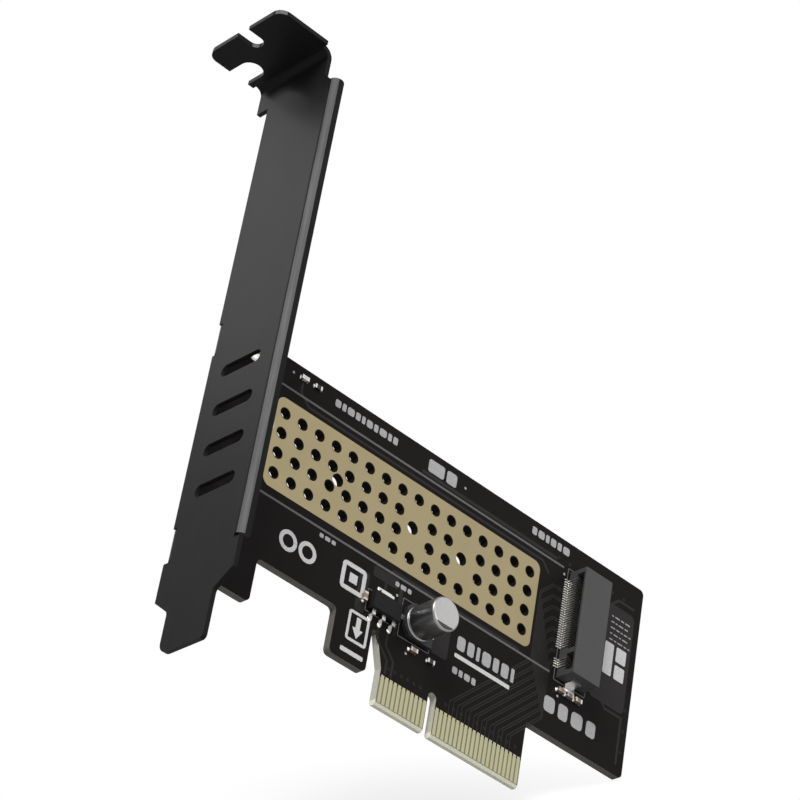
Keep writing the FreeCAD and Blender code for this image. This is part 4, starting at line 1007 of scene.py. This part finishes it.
def makeShell(settings):
    # The profile (radius, height) goes round the axis: wall with a groove, quarter-round edge, dished top
    low, high = boxOf("capacitor_can")
    radius = (high.x - low.x) / 2
    tall = high.y - low.y
    edge = settings["edge"]
    wall = np.concatenate([np.linspace(0, settings["fineTo"], settings["fineRows"]),
                           np.linspace(settings["wallFrom"], tall - edge, settings["wallRows"])])
    groove = settings["grooveDepth"] * np.exp(-((wall - settings["grooveAt"]) / settings["grooveWidth"]) ** 2)
    bend = np.linspace(0, math.pi / 2, settings["bendRows"])[1:]
    flat = np.linspace(radius - edge, 0, settings["lidRows"])[1:]
    dish = settings["dish"] * (1 - (flat / (radius - edge)) ** settings["dishPower"])
    across = np.concatenate([[0], radius - groove, radius - edge * (1 - np.cos(bend)), flat])[:, None]
    height = np.concatenate([[0], wall, tall - edge * (1 - np.sin(bend)), tall - dish])[:, None]
    turn = fullTurn(settings["steps"])[None, :]
    surface = Surface()
    surface.grid(np.stack(np.broadcast_arrays(
        (low.x + high.x) / 2 + across * np.cos(turn), high.y - height,
        (low.z + high.z) / 2 + across * np.sin(turn)), axis=-1))
    surface.piece("capacitor_shell", canMetal, 40, ("capacitor_can",))


makeShell(shell)
print("pieces made")


# Camera, floor, lamps and world

shot = {
    "aim": Vector((-17.75, 0, 59.0)) * mm,       # where the lens points
    "from": Vector((-298.1, -356.2, -241.3)) * mm,
    "roll": 10.25,                               # degrees, clockwise lean of the camera
    "lens": 138.2,
}


def placeCamera(settings):
    camera = bpy.data.cameras.new("camera")
    camera.lens = settings["lens"]
    camera.sensor_width = 36
    camera.clip_start = 0.01
    camera.clip_end = 20
    holder = addToScene("camera", camera)
    ahead = settings["aim"] - settings["from"]
    level = ahead.to_track_quat("-Z", "Y")
    holder.rotation_mode = "QUATERNION"
    holder.rotation_quaternion = level @ Quaternion((0, 0, 1), math.radians(settings["roll"]))
    holder.location = settings["from"]
    bpy.context.scene.camera = holder
    return holder.rotation_quaternion


cameraTurn = placeCamera(shot)
rightward, upward, backward = [cameraTurn @ Vector(axis) for axis in ((1, 0, 0), (0, 1, 0), (0, 0, 1))]

stage = {
    "tilt": 11,                 # degrees between the floor and the line of sight
    "reach": 3.0,               # half the floor's side, metres
    "shadow": 0.55,             # share of the floor's tone given to its dim lamp-lit shading near one point: a painted shadow, with the real cast shadows in it
    "tone": 0.95,               # the floor where it is seen
    "bounce": 0.35,             # the floor as it lights the part from below
    "fade": 0.066,              # metres from the shadow's middle at which that share has gone
    "shift": (-0.03, 0.049),    # from the part's foot to the shadow's middle: right, nearer
}


def floorMaterial(settings, paintedShadowMiddle):
    # White where it is seen, apart from a painted shadow: a grey patch round one point, where the dim
    # lamp-lit floor and its real cast shadows show, fading out with distance from that point.
    # Clear from below
    material = bpy.data.materials.new("floor")
    material.use_nodes = True
    maker = NodeMaker(material.node_tree)
    coords = maker.node("ShaderNodeTexCoord").outputs["Object"]
    apart = maker.node("ShaderNodeVectorMath", {"operation": "DISTANCE"}, {0: coords, 1: paintedShadowMiddle})
    near = (1 - Channel(maker, apart.outputs["Value"]) / settings["fade"]).clamped()
    under = Channel(maker, maker.node("ShaderNodeNewGeometry").outputs["Backfacing"])
    shaded, bounce = [maker.node("ShaderNodeBsdfDiffuse", inputs={"Color": grey(settings[tone])})
                      for tone in ("tone", "bounce")]
    glow = maker.node("ShaderNodeEmission", inputs={"Color": grey(1.0), "Strength": 1.0})
    # Painted shadow: near its middle the floor shows its dim lamp-lit shading, grey even where no shadow
    # falls
    pictured = maker.mixShaders(near * settings["shadow"], glow, shaded)
    bright = maker.mixShaders(maker.looked(), bounce, pictured)
    both = maker.mixShaders(under, bright, maker.node("ShaderNodeBsdfTransparent"))
    maker.node("ShaderNodeOutputMaterial", inputs={"Surface": both.outputs[0]})
    return material


def layFloor(settings):
    # A square plane at right angles to its upward direction, under the part's lowest corner
    tilt = math.radians(settings["tilt"])
    normal = (upward * math.cos(tilt) + backward * math.sin(tilt)).normalized()
    nearer = rightward.cross(normal).normalized()
    corners = []
    for node in ("circuit_board", "bracket"):
        vertices = frame["nodes"][node].data.vertices
        flat = np.empty(len(vertices) * 3)
        vertices.foreach_get("co", flat)
        corners.append(flat.reshape(-1, 3))
    corners = np.vstack(corners)
    heights = corners @ np.array(normal)
    foot = Vector(corners[heights.argmin()])
    centre = normal * heights.min()
    rim = [centre + (rightward * across + nearer * along) * settings["reach"]
           for across, along in ((-1, -1), (1, -1), (1, 1), (-1, 1))]
    mesh = bpy.data.meshes.new("floor")
    mesh.from_pydata([tuple(corner) for corner in rim], [], [(0, 1, 2, 3)])
    if mesh.polygons[0].normal.dot(normal) < 0:
        mesh.flip_normals()
    shiftRight, shiftNearer = settings["shift"]
    mesh.materials.append(floorMaterial(settings, foot + rightward * shiftRight + nearer * shiftNearer))
    addToScene("floor", mesh)
    return normal


floorUp = layFloor(stage)

lamps = (
    # name, metres to the right, up and back from the aim, side, watts
    ("key", -0.1, 0.95, 0.38, 0.45, 9.0),
    ("fill", 0.8, 0.2, 0.8, 0.9, 4.2),
    ("sheen", 0.9, 0.42, -0.14, 0.9, 0.4),
    ("rear", -0.5, 0.25, -1.0, 0.8, 2.4),
)
nearLamps = (
    # name, aim in millimetres, direction from there, metres away, side, watts
    ("plate", (-57.15, -6.8, 75.0), (-0.516, 0.656, 0.553), 0.2, 0.08, 0.08),
)


def hangLamp(name, place, aim, side, watts):
    light = bpy.data.lights.new(name, "AREA")
    light.shape = "SQUARE"
    light.size = side
    light.energy = watts
    holder = addToScene(name, light)
    holder.location = place
    holder.rotation_euler = (aim - place).to_track_quat("-Z", "Y").to_euler()


for name, right, up, back, side, watts in lamps:
    hangLamp(name, shot["aim"] + rightward * right + upward * up + backward * back, shot["aim"], side, watts)
for name, spot, towards, away, side, watts in nearLamps:
    aim = Vector(spot) * mm
    hangLamp(name, aim + Vector(towards) * away, aim, side, watts)

surround = {
    "above": 0.5, "below": 0.1,     # strength of its light over the floor and under it
    "spread": 0.9,                  # height, as a share of straight up, at which each is reached
}


def lightWorld(settings):
    # White where it is seen; for light a soft dome, whose strength goes evenly from below to above the floor
    world = bpy.data.worlds.new("studio")
    world.use_nodes = True
    bpy.context.scene.world = world
    maker = NodeMaker(world.node_tree)
    direction = maker.node("ShaderNodeTexCoord").outputs["Generated"]
    height = maker.node("ShaderNodeVectorMath", {"operation": "DOT_PRODUCT"}, {0: direction, 1: floorUp})
    strength = maker.node("ShaderNodeMapRange", inputs={
        "Value": height.outputs["Value"],
        "From Min": -settings["spread"], "From Max": settings["spread"],
        "To Min": settings["below"], "To Max": settings["above"]})
    dome = maker.node("ShaderNodeBackground", inputs={"Color": grey(1.0), "Strength": strength.outputs[0]})
    white = maker.node("ShaderNodeBackground", inputs={"Color": grey(1.0), "Strength": 1.0})
    mixed = maker.mixShaders(maker.looked(), dome, white)
    maker.node("ShaderNodeOutputWorld", inputs={"Surface": mixed.outputs[0]})


lightWorld(surround)
bpy.context.scene.view_settings.view_transform = "Standard"
print("stage and light ready")
